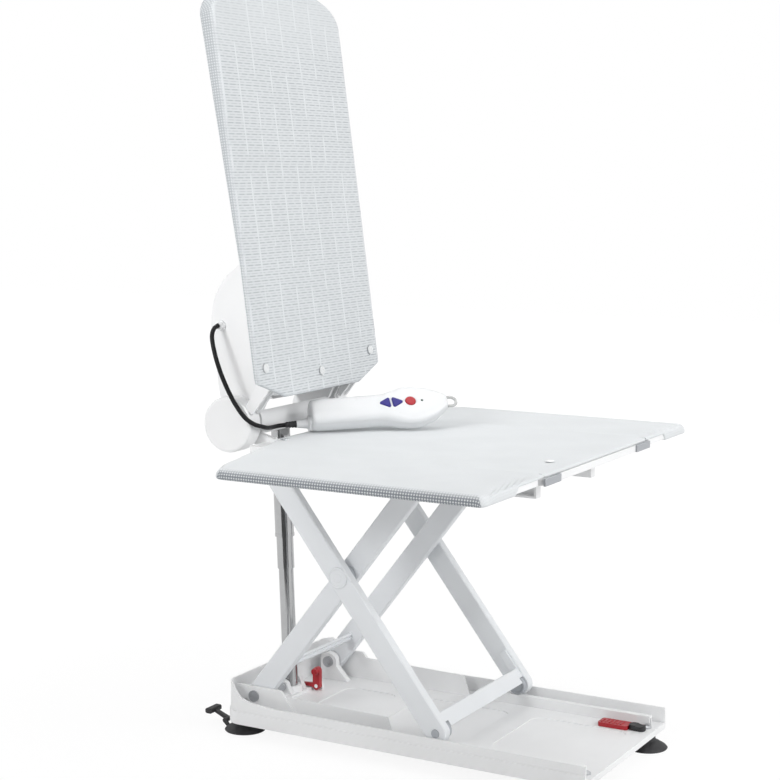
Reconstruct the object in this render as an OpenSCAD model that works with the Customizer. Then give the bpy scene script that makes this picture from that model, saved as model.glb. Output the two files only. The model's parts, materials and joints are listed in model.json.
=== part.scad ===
// Bath lift: a tray on four suction cups carries a scissor frame, a seat with two folding side flaps,
// a reclining backrest with the drive behind it, a telescopic column and a handset on a cord.
// Millimetres, +Z up, front towards -Y. The lift is drawn raised, as it is used to get in and out of the bath.

/* [Base tray] */
// Length of the tray from front to rear
base_len = 583; // [570:1:600]
// Width of the tray
base_w = 300; // [299:1:310]
// Height of the tray's underside above the bath floor
base_lift = 20; // [18:1:24]
// Depth of the hollow under the tray's floor
skirt_h = 5; // [3:1:7]
// Thickness of the tray's floor
floor_t = 4; // [3:0.5:5]
// Height of the side rails above the underside
rail_h = 32; // [28:1:36]
// Thickness of the tray's walls
rail_t = 4.5; // [3.5:0.5:4.5]
// Height of the rear cheeks above the underside
cheek_h = 61; // [56:1:63]
// Distance over which the cheeks keep their full height
cheek_len = 14; // [10:1:30]
// Radius of the tray's rear corners
corner_r = 28; // [20:1:32]

/* [Suction cups] */
// Diameter of a suction cup's rim
cup_d = 62; // [56:1:64]
// Distance of the cups' centres from the tray's sides
cup_side = 38; // [36:1:45]
// Distance of the cups' centres from the tray's ends
cup_in = 15; // [12:1:20]
// Length of the pull tabs behind the rear cups
tab_len = 37.5; // [32:0.5:45]

/* [Scissor] */
// Length of an arm from its lower pivot to the centre pivot
arm_low = 256.7; // [250:0.1:262]
// Length of an arm from the centre pivot to its upper pivot
arm_up = 192.5; // [186:0.1:198]
// Angle of the arms above the floor when raised
lift_angle = 52; // [48:0.5:54]
// Angle of the arms above the floor when lowered
low_angle = 2; // [1.5:0.1:3]
// Height of the lower pivots above the tray's underside
pivot_h = 38; // [37:0.5:40]
// Distance of the rear lower pivots from the tray's rear end
rear_pivot_in = 38.5; // [36:0.5:42]
// Width of an arm's face
arm_w = 33; // [30:0.5:34]
// Thickness of an arm
arm_t = 15; // [13:0.5:15.5]
// Gap between the outer arms and the tray's walls
arm_side_gap = 2.2; // [2:0.1:4]
// Gap between the outer and the inner arms, which takes the bushes and glides
arm_spacing = 11.7; // [10:0.1:14]
// Diameter of the pivot pins
pin_d = 12; // [10:0.5:13]
// Radius of the glides at the arms' sliding ends
glide_r = 13.5; // [12:0.5:14]

/* [Seat] */
// Width of the seat between the flap hinges
seat_w = 374; // [366:1:384]
// Distance of the seat's front edge from the rear pivots under it
seat_front = 455; // [445:1:462]
// Distance of the seat cover's rear edge from the rear pivots under the seat
seat_rear = 53; // [50:1:60]
// Depth of the seat moulding
seat_t = 10; // [9:0.5:10.5]
// Height of the seat moulding's top above the upper pivots
seat_over_pivot = 28; // [27.5:0.1:29]
// Thickness of the seat cover
cover_t = 4.6; // [3:0.1:5]
// Width of a side flap
flap_w = 165; // [155:1:172]
// Thickness of a flap moulding
flap_t = 8; // [7:0.5:9]

/* [Backrest] */
// Width of the backrest with its cover
back_w = 344; // [330:1:356]
// Length of the backrest with its cover
back_len = 598; // [570:1:620]
// Thickness of the backrest with its cover
back_t = 24; // [22:0.5:26]
// Lean of the backrest behind upright
back_lean = 7.9; // [6:0.1:9]
// Distance of the backrest's front face in front of the recline axis
back_front = 86.8; // [84:0.1:90]
// Distance of the backrest's lower edge above the recline axis
back_low = 31.4; // [30:0.1:36]
// Width of the rear housing
housing_w = 224; // [222:0.5:226]
// Radius of the round hubs beside the recline hinge
hub_r = 41; // [38:0.5:42]
// Distance of the recline axis behind the rear pivots under the seat
hub_back = 73; // [71:0.5:76]
// Height of the recline axis above the seat moulding's top
hub_up = 25; // [24:0.5:28]

/* [Column] */
// Distance of the column's foot from the tray's rear end
column_in = 24; // [22:0.5:26]
// Lean of the column behind upright
column_lean = 2.35; // [2:0.05:2.6]
// Outside diameter of the lowest and thinnest tube
tube_d = 23; // [21:0.5:24]
// Wall of the sliding tubes
tube_wall = 1.3; // [1:0.1:1.6]
// Sliding clearance between two tubes, on the diameter
tube_gap = 0.6; // [0.4:0.1:0.8]
// Length of the lowest tube
tube_1_len = 183; // [179:1:186]
// Distance of the middle tube's lower end above the foot
tube_2_low = 178; // [170:1:178]
// Length of the middle tube
tube_2_len = 74; // [68:1:80]
// Distance of the top tube's lower end above the foot
tube_3_low = 228; // [220:1:234]
// Length of the top tube
tube_3_len = 168; // [160:1:176]

/* [Handset] */
// Length of the handset's body
handset_len = 212; // [204:1:220]
// Width of the handset's head
head_w = 70; // [66:1:74]
// Width of the handset's grip
grip_w = 46; // [44:1:48]
// Thickness of the handset
handset_t = 36; // [34:0.5:37]
// Wall of the handset's shells
shell_t = 2.2; // [1.8:0.1:2.6]
// Travel of a button
button_travel = 1.5; // [1:0.1:2]

/* [Cord] */
// Diameter of the cord
cord_d = 6.6; // [5.5:0.1:7]

/* [Hidden] */
$fn = 64;

// Shared clearances: run between pieces that move past each other, fit round a pin, touch of a glide
run = 1;
fit = 0.4;
touch = 0.3;

// Heights and places of the tray
floor_top = base_lift + skirt_h + floor_t;
rail_top = base_lift + rail_h;
cheek_top = base_lift + cheek_h;
base_end = base_len / 2;
wall_in = base_w / 2 - rail_t;

// Pivots of the scissor in the side view, raised
pivot_z = base_lift + pivot_h;
rear_y = base_end - rear_pivot_in;
centre_y = rear_y - arm_low * cos(lift_angle);
centre_z = pivot_z + arm_low * sin(lift_angle);
front_y = centre_y - arm_low * cos(lift_angle);
top_rear_y = centre_y + arm_up * cos(lift_angle);
top_front_y = centre_y - arm_up * cos(lift_angle);
top_z = centre_z + arm_up * sin(lift_angle);
// How far the front glides run forwards on the tray and under the seat as the lift goes down
track_travel = 2 * arm_low * (cos(low_angle) - cos(lift_angle));
seat_travel = 2 * arm_up * (cos(low_angle) - cos(lift_angle));

// The whole part is drawn with the tray's middle at y = 0 and then moved to the middle of its length
cup_reach = base_end - cup_in + cup_d / 2;
tab_reach = cup_reach + tab_len;
frame_y = (cup_reach - tab_reach) / 2;

// Places on the seat, whose frame has its top at z = 0 and the rear pivots under it at y = 0
seat_top = top_z + seat_over_pivot;
hub_y = hub_back;
hub_z = hub_up;
seat_edge = seat_w / 2;
flap_axis_z = -seat_t / 2;
pivot_drop = -seat_over_pivot;

// Distances from the middle plane
cup_x = base_w / 2 - cup_side;
cup_y = base_end - cup_in;
stud_head_d = 14;
outer_arm_x = base_w / 2 - rail_t - arm_side_gap;
inner_arm_x = outer_arm_x - arm_t - arm_spacing;
arm_gap_out = outer_arm_x - arm_t - run;
inner_arm_in = inner_arm_x - arm_t;
lug_out = inner_arm_in - 2;
lug_t = 11;
bracket_out = housing_w / 2 - 3 - run;
bracket_t = 10;
hub_out = housing_w / 2 + 28;

// Backrest depths from the recline axis
back_face = -back_front;
back_rear = back_face + back_t;
board_front = back_face + cover_t + 0.2;
board_rear = back_rear - 3.2;

// Colours
white = [0.93, 0.94, 0.95];
arm_white = [0.87, 0.89, 0.91];
cover_grey = [0.80, 0.84, 0.87];
steel = [0.72, 0.73, 0.75];
nylon = [0.55, 0.57, 0.60];
rubber = [0.06, 0.06, 0.07];
red = [0.72, 0.07, 0.08];
blue = [0.13, 0.18, 0.55];

// Helpers

// The whole part's own frame
module whole() translate([0, frame_y, 0]) children();

// Draws the right-hand piece as it is and the left-hand one mirrored: side is 1 for +X, -1 for -X
module on_side(side) mirror([side < 0 ? 1 : 0, 0, 0]) children();

// Draws both the +X piece and its mirror image
module pair() for (side = [-1, 1]) on_side(side) children();

// A shape of the side view, with y and z as its axes, from x0 to x1
module along_x(x0, x1) translate([x0, 0, 0]) rotate([90, 0, 90]) linear_extrude(x1 - x0) children();

// A shape of the front view, with x and z as its axes, from y0 to y1
module along_y(y0, y1) translate([0, y1, 0]) rotate([90, 0, 0]) linear_extrude(y1 - y0) children();

// A round pin along X
module pin_x(x0, x1, d) translate([x0, 0, 0]) rotate([0, 90, 0]) cylinder(h = x1 - x0, d = d);

// A straight slot with round ends, its end centres at a and b on the first axis
module slot(a, b, w) {
    translate([a, -w / 2]) square([b - a, w]);
    for (end = [a, b]) translate([end, 0]) circle(d = w);
}

// A rectangle about the origin with rounded corners
module rounded_rect(w, h, r) {
    square([w - 2 * r, h], center = true);
    square([w, h - 2 * r], center = true);
    for (x = [-1, 1], y = [-1, 1]) translate([x * (w / 2 - r), y * (h / 2 - r)]) circle(r);
}

// Frames of the moving groups, all at their raised place
module at_rear_pivot() translate([0, rear_y, pivot_z]) children();
module at_centre() translate([0, centre_y, centre_z]) children();
module at_outer_arm() at_centre() rotate([lift_angle, 0, 0]) children();
module at_inner_arm() at_centre() rotate([-lift_angle, 0, 0]) children();
module at_seat() translate([0, top_rear_y, seat_top]) children();
module at_hub() at_seat() translate([0, hub_y, hub_z]) children();
module at_back() at_hub() rotate([-back_lean, 0, 0]) children();
module on_column() translate([0, base_end - column_in, floor_top + foot_pin_z])
    rotate([-column_lean, 0, 0]) translate([0, 0, column_seat - foot_pin_z]) children();

// Base tray

// Plan of the tray, drawn in by inset on the sides and rear and by front_inset on the front
module tray_plan(inset, front_inset) {
    w = base_w - 2 * inset;
    r = corner_r - inset;
    rear = base_end - inset;
    translate([-w / 2, -base_end + front_inset]) square([w, rear - r + base_end - front_inset]);
    translate([-w / 2 + r, rear - r]) square([w - 2 * r, r]);
    pair() translate([w / 2 - r, rear - r]) circle(r);
}

// Everything above the tray's walls: low rails, a slope and the high rear cheeks
module above_walls() {
    fall = cheek_h - rail_h;
    along_x(-base_w, base_w) polygon([
        [-base_end - 1, rail_top], [base_end - cheek_len - 2.6 * fall, rail_top],
        [base_end - cheek_len - 1.2 * fall, rail_top + 0.12 * fall],
        [base_end - cheek_len - 0.6 * fall, rail_top + 0.3 * fall], [base_end - cheek_len, cheek_top],
        [base_end + 1, cheek_top], [base_end + 1, cheek_top + 1], [-base_end - 1, cheek_top + 1]
    ]);
}

// Step that sets the upper part of the rails in from their lower part
step_z = base_lift + 20;
step_d = 1.8;
module rail_step() difference() {
    translate([0, 0, step_z]) linear_extrude(cheek_h) translate([0, -1])
        square([base_w + 2, base_len + 4], center = true);
    translate([0, 0, step_z - 1]) linear_extrude(cheek_h + 2) tray_plan(step_d, -4);
}

// Upright lugs on both sides of each inner arm that carry the rear pivot pin
lug_r = 14;
outer_lug_r = 12;
outer_lug_t = 5;
outer_lug_x = inner_arm_x + run;
module pivot_lug() along_x(lug_out - lug_t, lug_out) {
    translate([rear_y, pivot_z]) circle(lug_r);
    translate([rear_y - lug_r, floor_top - 1]) square([2 * lug_r, pivot_z - floor_top + 1]);
    polygon([[rear_y - lug_r, floor_top - 1], [rear_y - lug_r - 22, floor_top - 1],
             [rear_y - lug_r, pivot_z - 6]]);
}
// Outside the arm the lug grows out of a long guide wall that ends in front of the middle
guide_t = 2;
guide_h = 12;
guide_front = rear_y - 239;
module outer_pivot_lug() difference() {
    union() {
        along_x(outer_lug_x, outer_lug_x + outer_lug_t) polygon([
            [rear_y - 83, floor_top - 1], [rear_y - 46, pivot_z + outer_lug_r + 2],
            [base_end - rail_t + 1, pivot_z + outer_lug_r + 2], [base_end - rail_t + 1, floor_top - 1]
        ]);
        along_x(outer_lug_x, outer_lug_x + guide_t) polygon([
            [guide_front, floor_top - 1], [guide_front + guide_h, rail_top + guide_h - 3],
            [rear_y - 60, rail_top + guide_h], [rear_y - 40, rail_top + guide_h], [rear_y - 40, floor_top - 1]
        ]);
    }
    // Room for the heads of the cups' screws, and a blind hole beside the pin
    translate([cup_x, cup_y, floor_top - 2]) cylinder(h = 8, d = stud_head_d + 2 * run);
    translate([0, rear_y + 14, pivot_z - 9]) pin_x(outer_lug_x + 1, outer_lug_x + outer_lug_t + 1, 7);
}

// Lug beside the latch, with the pin that the latch turns on
module latch_lug() translate([0, latch_y, floor_top]) {
    along_x(latch_x + 8.6, latch_x + 13) {
        translate([0, latch_pivot_h]) circle(6);
        translate([-6, -1]) square([12, latch_pivot_h + 1]);
    }
    translate([0, 0, latch_pivot_h]) pin_x(latch_x, latch_x + 10, 6);
}

rib_t = 3;
rib_pitch = 72;
module underside_ribs() translate([0, 0, base_lift]) linear_extrude(skirt_h + 1) intersection() {
    tray_plan(rail_t - 1, rail_t - 1);
    union() {
        for (y = [-base_end + rib_pitch : rib_pitch : base_end - rib_pitch / 2])
            translate([-base_w / 2, y - rib_t / 2]) square([base_w, rib_t]);
        for (x = [-60, 0, 60]) translate([x - rib_t / 2, -base_end]) square([rib_t, base_len]);
    }
}

stud_d = 8;
cup_boss_r = 15;
module at_cups() for (x = [-cup_x, cup_x], y = [-cup_y, cup_y]) translate([x, y, 0]) children();

// Shallow panels pressed into the tray's floor
panel_d = 1.2;
panel_side = 140;
panel_len = 150;
panel_pitch = 188;
panel_r = 18;
module floor_panels() translate([0, 0, floor_top - panel_d]) linear_extrude(panel_d + 1) {
    translate([0, -panel_pitch]) rounded_rect(base_w - panel_side, panel_len, panel_r);
    rounded_rect(base_w - panel_side, panel_len, panel_r);
    translate([0, panel_pitch - panel_len / 5]) rounded_rect(base_w - panel_side - 20, panel_len * 0.6, panel_r);
}

module base_tray() color(white) whole() difference() {
    union() {
        difference() {
            translate([0, 0, base_lift]) linear_extrude(cheek_h) tray_plan(0, 0);
            translate([0, 0, floor_top]) linear_extrude(cheek_h) tray_plan(rail_t, -1);
            translate([0, 0, base_lift - 1]) linear_extrude(skirt_h + 1) tray_plan(rail_t, rail_t);
            above_walls();
            rail_step();
            floor_panels();
        }
        underside_ribs();
        pair() pivot_lug();
        pair() outer_pivot_lug();
        latch_lug();
        at_cups() translate([0, 0, base_lift]) cylinder(h = skirt_h + 1, r = cup_boss_r);
    }
    pair() at_rear_pivot() pin_x(lug_out - lug_t - 1, outer_lug_x + outer_lug_t + 1, pin_d + fit);
    at_cups() cylinder(h = floor_top + 1, d = stud_d + fit);
}

// Raised track that the front glides run on, with a low lip along its inner edge
track_top = pivot_z - glide_r - touch;
track_out = arm_gap_out - 0.3;
track_in = inner_arm_x + run;
module roller_track(side) color(white) whole() on_side(side) {
    front = front_y - track_travel - glide_r - 5;
    difference() {
        translate([track_in, front, floor_top])
            cube([track_out - track_in, front_y + glide_r + 30 - front, track_top - floor_top]);
        translate([track_in + 2.5, front - 1, floor_top - 1])
            cube([track_out - track_in - 5, front_y + glide_r + 32 - front, track_top - floor_top - 2]);
        translate([cup_x, -cup_y, floor_top - 1]) cylinder(h = 6, d = stud_head_d + 2 * run);
    }
}
module roller_track_left() roller_track(1);
module roller_track_right() roller_track(-1);

// Suction cups: a bell with a flat rim, a neck and a flange under the tray
cup_h = 12;
module suction_cups() color(rubber) whole() {
    at_cups() rotate_extrude() polygon([
        [0, 7], [10, 7], [20, 4.5], [cup_d / 2 - 4, 0], [cup_d / 2 - 1, 0], [cup_d / 2, 1.2],
        [cup_d / 2 - 2, 3.5], [20, 9], [14, cup_h], [12, base_lift], [stud_d / 2 + fit / 2, base_lift],
        [stud_d / 2 + fit / 2, cup_h - 2], [0, cup_h - 2]
    ]);
    pair() tab_ears();
}

// Two ears on a rear cup's rim with the thin pin of its release tab
module tab_ears() translate([tab_x, tab_y, tab_z]) {
    for (x = [-1, 1]) along_x(x * 9 - 1.6, x * 9 + 1.6) {
        circle(3.5);
        polygon([[-9, -7], [-4, -8], [3, -2], [0, 3.5], [-3, 2]]);
    }
    pin_x(-9, 9, 2.6);
}

// Screws that hold the cups to the tray, with a round head on the tray's floor
module cup_studs() color(steel) whole() at_cups() {
    translate([0, 0, cup_h - 2]) cylinder(h = floor_top - cup_h + 3, d = stud_d);
    translate([0, 0, floor_top]) cylinder(h = 2, d = stud_head_d);
    translate([0, 0, floor_top + 2]) cylinder(h = 1.6, d1 = stud_head_d, d2 = stud_head_d - 5);
}

// Pins of the inner arms' lower ends, with a head outside each outer lug
module rear_pivot_pins() color(steel) whole() pair() at_rear_pivot() {
    pin_x(lug_out - lug_t - 1, outer_lug_x + outer_lug_t + 1, pin_d);
    translate([outer_lug_x + outer_lug_t, 0, 0]) pin_x(0, 2.6, pin_d + 5);
    translate([lug_out - lug_t - 4, 0, 0]) pin_x(0, 4, pin_d + 5);
}

// Column and its foot

column_seat = 19;
foot_w = 44;
foot_r = 17;
foot_pin_z = 15;

// Foot block with two cheeks, a floor flange and a socket for the lowest tube
module column_foot() color(white) whole() translate([0, base_end - column_in, floor_top]) difference() {
    union() {
        translate([-foot_w / 2 - 10, -22, 0]) cube([foot_w + 20, 40, 4]);
        translate([0, 0, 3]) cylinder(h = foot_pin_z - 5, r1 = foot_r + 2, r2 = foot_r);
        pair() along_x(foot_w / 2 - 8, foot_w / 2) {
            translate([0, foot_pin_z]) circle(9);
            polygon([[-16, 3], [16, 3], [9, foot_pin_z], [-9, foot_pin_z]]);
        }
    }
    translate([0, 0, foot_pin_z]) {
        pin_x(-foot_w, foot_w, 8 + fit);
        rotate([-column_lean, 0, 0]) translate([0, 0, -9 - touch]) cylinder(h = 40, d = tube_d - 1 + fit);
    }
    for (x = [-1, 1], y = [-17, 13]) translate([x * (foot_w / 2 + 5), y, -1]) cylinder(h = 6, d = 5);
}

// Cross pin that holds the column's lower end to the foot
module column_foot_pin() color(steel) whole()
    translate([0, base_end - column_in, floor_top + foot_pin_z]) {
        pin_x(-foot_w / 2 - 3, foot_w / 2 + 3, 8);
        translate([-foot_w / 2 - 6, 0, 0]) pin_x(0, 5, 13);
    }

// Red latch that locks the foot pin: an upright bar, a foot and a finger pad on a round boss
latch_x = foot_w / 2 + 4;
latch_y = base_end - column_in - 30;
latch_h = 30;
latch_pivot_h = 7;
module column_latch() color(red) whole() translate([0, latch_y, floor_top + latch_pivot_h]) difference() {
    union() {
        along_x(latch_x, latch_x + 8) {
            circle(6);
            translate([-6, 0]) square([12, latch_h - 6]);
            translate([0, latch_h - 6]) circle(6);
        }
        translate([latch_x, 0, 0]) along_x(0, 5) polygon([[0, -5], [6, -2], [24, -1.5], [24, 3], [0, 5]]);
        translate([latch_x - 6, 0, latch_h - 6]) rotate([0, 90, 0]) cylinder(h = 8, r = 5);
    }
    pin_x(latch_x - 1, latch_x + 9, 6 + fit);
}

// Lowest tube of the column, closed by a plug at its foot
module column_tube_lower() color(steel) whole() on_column() {
    difference() {
        cylinder(h = tube_1_len, d = tube_d);
        translate([0, 0, 6]) cylinder(h = tube_1_len, d = tube_d - 2 * tube_wall);
    }
    translate([0, 0, foot_pin_z - column_seat - 9]) difference() {
        cylinder(h = 10 + column_seat - foot_pin_z, d = tube_d - 1);
        translate([0, 0, 9]) pin_x(-tube_d, tube_d, 8 + fit);
    }
}

// Threaded spindle that drives the column, drawn as its core
spindle_d = 10;
module lift_spindle() color(steel) whole() on_column() {
    translate([0, 0, 6]) cylinder(h = tube_1_len - 16, d = spindle_d);
    translate([0, 0, 6]) cylinder(h = 6, d = tube_d - 2 * tube_wall - fit);
    translate([0, 0, tube_1_len - 22]) cylinder(h = 12, d = tube_d - 2 * tube_wall - fit);
}

tube_2_d = tube_d + tube_gap + 2 * tube_wall;
tube_3_d = tube_2_d + tube_gap + 2 * tube_wall;

// A sliding tube with a collar round its lower end
module sliding_tube(low, length, d, collar) translate([0, 0, low]) difference() {
    union() {
        cylinder(h = length, d = d);
        cylinder(h = 5, d = d + collar);
    }
    translate([0, 0, -1]) cylinder(h = length + 2, d = d - 2 * tube_wall);
}
module column_tube_middle() color(steel) whole() on_column() sliding_tube(tube_2_low, tube_2_len, tube_2_d, 0);
module column_tube_upper() color(steel) whole() on_column() sliding_tube(tube_3_low, tube_3_len, tube_3_d, 0.8);

// Releases on the tray

// Sliding red catch at the front of the tray
slider_side = 54;
slider_x = base_w / 2 - slider_side;
slider_y = -base_end + 58;
slider_w = 24;
slider_len = 46;
slider_t = 6;
module front_release_slider() color(red) whole() translate([slider_x, slider_y, floor_top + touch])
    difference() {
        union() {
            linear_extrude(slider_t) rounded_rect(slider_w, slider_len, 4);
            for (y = [-12 : 6 : 18]) translate([-slider_w / 2 + 4, y - 1, slider_t])
                cube([slider_w - 8, 2, 1.2]);
        }
        translate([-4, -slider_len / 2 + 8, -1]) cube([8, slider_len - 16, 3]);
    }

// Black grip pad on the front end of the catch
module front_release_pad() color(rubber) whole()
    translate([slider_x, slider_y - slider_len / 2 - 12, floor_top + touch]) difference() {
        linear_extrude(slider_t + 2) rounded_rect(slider_w - 8, 24, 7);
        translate([0, -4, slider_t + 14]) rotate([0, 90, 0]) cylinder(h = slider_w, r = 13.4, center = true);
    }

// Tab that lifts a rear cup's rim: a thin arm and a cross bar to pull
tab_y = cup_y + cup_d / 2 + 4;
tab_z = 9;
tab_x = cup_x - 6;
module release_tab(side) color(rubber) whole() on_side(side) translate([tab_x, tab_y, tab_z]) {
    difference() {
        union() {
            pin_x(-7, 7, 7);
            along_x(-3.5, 3.5) polygon([[0, -2.5], [tab_reach - tab_y - 7, 9], [tab_reach - tab_y - 7, 13], [0, 3]]);
            translate([0, tab_reach - tab_y - 6, 11]) rotate([0, 90, 0]) linear_extrude(26, center = true)
                rounded_rect(8, 12, 3);
        }
        pin_x(-8, 8, 3);
    }
}
module release_tab_left() release_tab(1);
module release_tab_right() release_tab(-1);

// Scissor

arm_bevel = 1.5;
arm_skin = 3;

// A straight bar along Y with bevelled edges and round ends
module bar(y0, y1) {
    half_w = arm_w / 2;
    half_t = arm_t / 2;
    translate([0, y0, 0]) rotate([-90, 0, 0]) linear_extrude(y1 - y0) polygon([
        [-half_t, -half_w + arm_bevel], [-half_t + arm_bevel, -half_w],
        [half_t - arm_bevel, -half_w], [half_t, -half_w + arm_bevel],
        [half_t, half_w - arm_bevel], [half_t - arm_bevel, half_w],
        [-half_t + arm_bevel, half_w], [-half_t, half_w - arm_bevel]
    ]);
    for (y = [y0, y1]) translate([0, y, 0]) rotate([0, 90, 0]) rotate_extrude() polygon([
        [0, -half_t], [half_w - arm_bevel, -half_t], [half_w, -half_t + arm_bevel],
        [half_w, half_t - arm_bevel], [half_w - arm_bevel, half_t], [0, half_t]
    ]);
}

// An arm about its centre pivot with three bores: the centre one starts at centre_from
module arm(low_end, up_end, centre_from) difference() {
    bar(min(low_end, up_end), max(low_end, up_end));
    for (y = [low_end, up_end]) translate([0, y, 0]) pin_x(-arm_t, arm_t, pin_d + fit);
    pin_x(centre_from, arm_t, pin_d + fit);
}

module outer_arm(side) color(arm_white) whole() on_side(side) at_outer_arm()
    translate([outer_arm_x - arm_t / 2, 0, 0]) arm(-arm_low, arm_up, -arm_t);
module outer_arm_left() outer_arm(1);
module outer_arm_right() outer_arm(-1);

module inner_arm(side) color(arm_white) whole() on_side(side) at_inner_arm()
    translate([inner_arm_x - arm_t / 2, 0, 0]) arm(arm_low, -arm_up, -arm_t / 2 + arm_skin);
module inner_arm_left() inner_arm(1);
module inner_arm_right() inner_arm(-1);

// Slim T-shaped plate that ties the inner arms together near their lower ends
plate_t = 4;
plate_w = 14;
plate_up = 58;
module inner_cross_plate() color(arm_white) whole() at_inner_arm() translate([-inner_arm_in, arm_low - plate_up, 0]) {
    cube([2 * inner_arm_in, plate_w, plate_t]);
    translate([0, (plate_w - plate_t) / 2, -plate_t]) cube([2 * inner_arm_in, plate_t, plate_t + 1]);
}

// Board that ties the outer arms together at their front ends, with a rolled edge
board_len = 22;
gusset_len = 44;
gusset_t = 4;
module front_cross_board() color(arm_white) whole() at_outer_arm() difference() {
    half = outer_arm_x - arm_t;
    union() {
        translate([-half, -arm_low - 2, 8]) cube([2 * half, board_len, 5]);
        translate([0, -arm_low - 2 + board_len, 10.5]) pin_x(-half, half, 5);
        translate([-half, -arm_low + board_len / 2, 0]) cube([2 * half, gusset_t, 9]);
        pair() translate([half - gusset_t, -arm_low + board_len / 2, 1]) cube([gusset_t, gusset_len, 12]);
    }
    pair() translate([0, -arm_low, 0]) pin_x(track_in - run, outer_arm_x, 2 * glide_r + 2 * run);
}

// Centre pins from the inner arms' blind bores to the caps
module centre_pivot_pins() color(steel) whole() pair() at_centre()
    pin_x(inner_arm_in + arm_skin + touch, outer_arm_x, pin_d);

// Bushes between the arms at the centre pivots
module centre_bushes() color(nylon) whole() pair() at_centre() difference() {
    pin_x(inner_arm_x + touch, outer_arm_x - arm_t, 2 * glide_r);
    pin_x(inner_arm_x - 1, outer_arm_x, pin_d + fit);
}

// Round caps over the centre pins, with a raised rim
cap_r = 15.5;
module centre_caps() color(white) whole() pair() at_centre() translate([outer_arm_x, 0, 0])
    rotate([0, 90, 0]) rotate_extrude() polygon([
        [0, 0], [cap_r, 0], [cap_r, 1.4], [cap_r - 0.8, 2.1], [cap_r - 3, 2.1], [cap_r - 3.8, 0.9],
        [cap_r - 9, 0.9], [cap_r - 9.4, 1.5], [0, 1.7]
    ]);

// A glide on the end of its own pin, beside an arm's end
module glide(glide_x0, glide_x1, pin_x0, pin_x1) {
    pin_x(pin_x0, pin_x1, pin_d);
    difference() {
        translate([glide_x0, 0, 0]) rotate([0, 90, 0]) rotate_extrude() polygon([
            [0, 0], [glide_r - 1, 0], [glide_r, 1], [glide_r, glide_x1 - glide_x0 - 1],
            [glide_r - 1, glide_x1 - glide_x0], [0, glide_x1 - glide_x0]
        ]);
        translate([glide_x0 - 1, 0, 0]) rotate([0, 90, 0]) rotate_extrude() polygon([
            [pin_d / 2 + 2, 0], [glide_r - 2.5, 0], [glide_r - 2.5, 2], [pin_d / 2 + 2, 2]
        ]);
    }
}

// Glides of the outer arms' front ends, which run on the tray's tracks
module lower_glides() color(nylon) whole() pair() at_outer_arm() translate([0, -arm_low, 0])
    glide(track_in + 0.5, arm_gap_out, arm_gap_out - 1, outer_arm_x + 0.8);

// Glides of the inner arms' upper ends, which run in the channels under the seat
channel_out = inner_arm_in - run;
channel_w = 14;
module upper_glides() color(nylon) whole() pair() at_inner_arm() translate([0, -arm_up, 0])
    glide(channel_out - channel_w + 4, channel_out, channel_out - 1, inner_arm_x + 0.8);

// Seat

rear_deck = 24;
deck_edge = 2.7;
bracket_lug_t = 5;
deck_w = 2 * (outer_arm_x + run + bracket_lug_t + deck_edge);
seat_corner = 16;
front_lip = 9;

// Plan of the seat moulding: a wide deck, a slant behind it and a narrower tongue for the hinge
rear_slant = 38;
side_rear = -seat_rear + rear_slant;
module seat_plan(inset) {
    half = seat_edge - run - inset;
    tongue = deck_w / 2 - inset;
    start = -seat_rear - 2 * seat_corner;
    depth = seat_front - seat_rear - 2 * inset;
    translate([0, -(seat_front + seat_rear) / 2]) rounded_rect(2 * half, depth, seat_corner - inset);
    polygon([[-half, start], [-half, side_rear - 5 - inset], [-tongue, side_rear + 4 - inset],
             [-tongue, rear_deck - inset], [tongue, rear_deck - inset], [tongue, side_rear + 4 - inset],
             [half, side_rear - 5 - inset], [half, start]]);
}

// A rounded corner at q of an outline that comes from p and goes on to s, drawn back by d
function rounded(p, q, s, d) = let (a = q + d * unit(p - q), b = q + d * unit(s - q))
    [for (t = [0 : 0.2 : 1]) pow(1 - t, 2) * a + 2 * t * (1 - t) * q + t * t * b];

seat_skin = 3;
seat_rib_pitch = 56;
seat_hole_pitch = 44;
module seat_moulding() color(white) whole() at_seat() difference() {
    union() {
        difference() {
            translate([0, 0, -seat_t]) linear_extrude(seat_t) seat_plan(0);
            translate([0, 0, -seat_t - 1]) linear_extrude(seat_t - seat_skin + 1) seat_plan(4);
        }
        translate([0, 0, -seat_t]) linear_extrude(seat_t - 1) intersection() {
            seat_plan(1);
            union() {
                for (x = [-3 : 3]) translate([x * seat_rib_pitch - rib_t / 2, -seat_front])
                    square([rib_t, seat_front + rear_deck]);
                for (y = [-seat_front + seat_rib_pitch : seat_rib_pitch : rear_deck - 8])
                    translate([-seat_w / 2, y - rib_t / 2]) square([seat_w, rib_t]);
            }
        }
        // Knuckles of the seat between those of the flaps
        pair() for (y = seat_knuckles) translate([seat_edge, y - seat_knuckle_len / 2, flap_axis_z])
            rotate([-90, 0, 0]) cylinder(h = seat_knuckle_len, d = knuckle_d);
    }
    // Bores of the flaps' hinge rods
    pair() translate([seat_edge, -seat_front, flap_axis_z]) rotate([-90, 0, 0])
        cylinder(h = flap_depth, d = rod_d + fit);
    // Drain slots between the ribs
    for (x = [-2.5 : 2.5], y = [0 : 5])
        translate([x * seat_rib_pitch, -seat_front + seat_rib_pitch * (y + 1.5), -seat_skin - 1])
            linear_extrude(seat_skin + 2) slot(-12, 12, 6);
    // Scoops along the sides for the flaps' knuckles
    pair() for (y = knuckles) translate([seat_edge, y - knuckle_len / 2 - 0.5, flap_axis_z])
        rotate([-90, 0, 0]) cylinder(h = knuckle_len + 1, d = knuckle_d + 2 * run);
}

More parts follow.
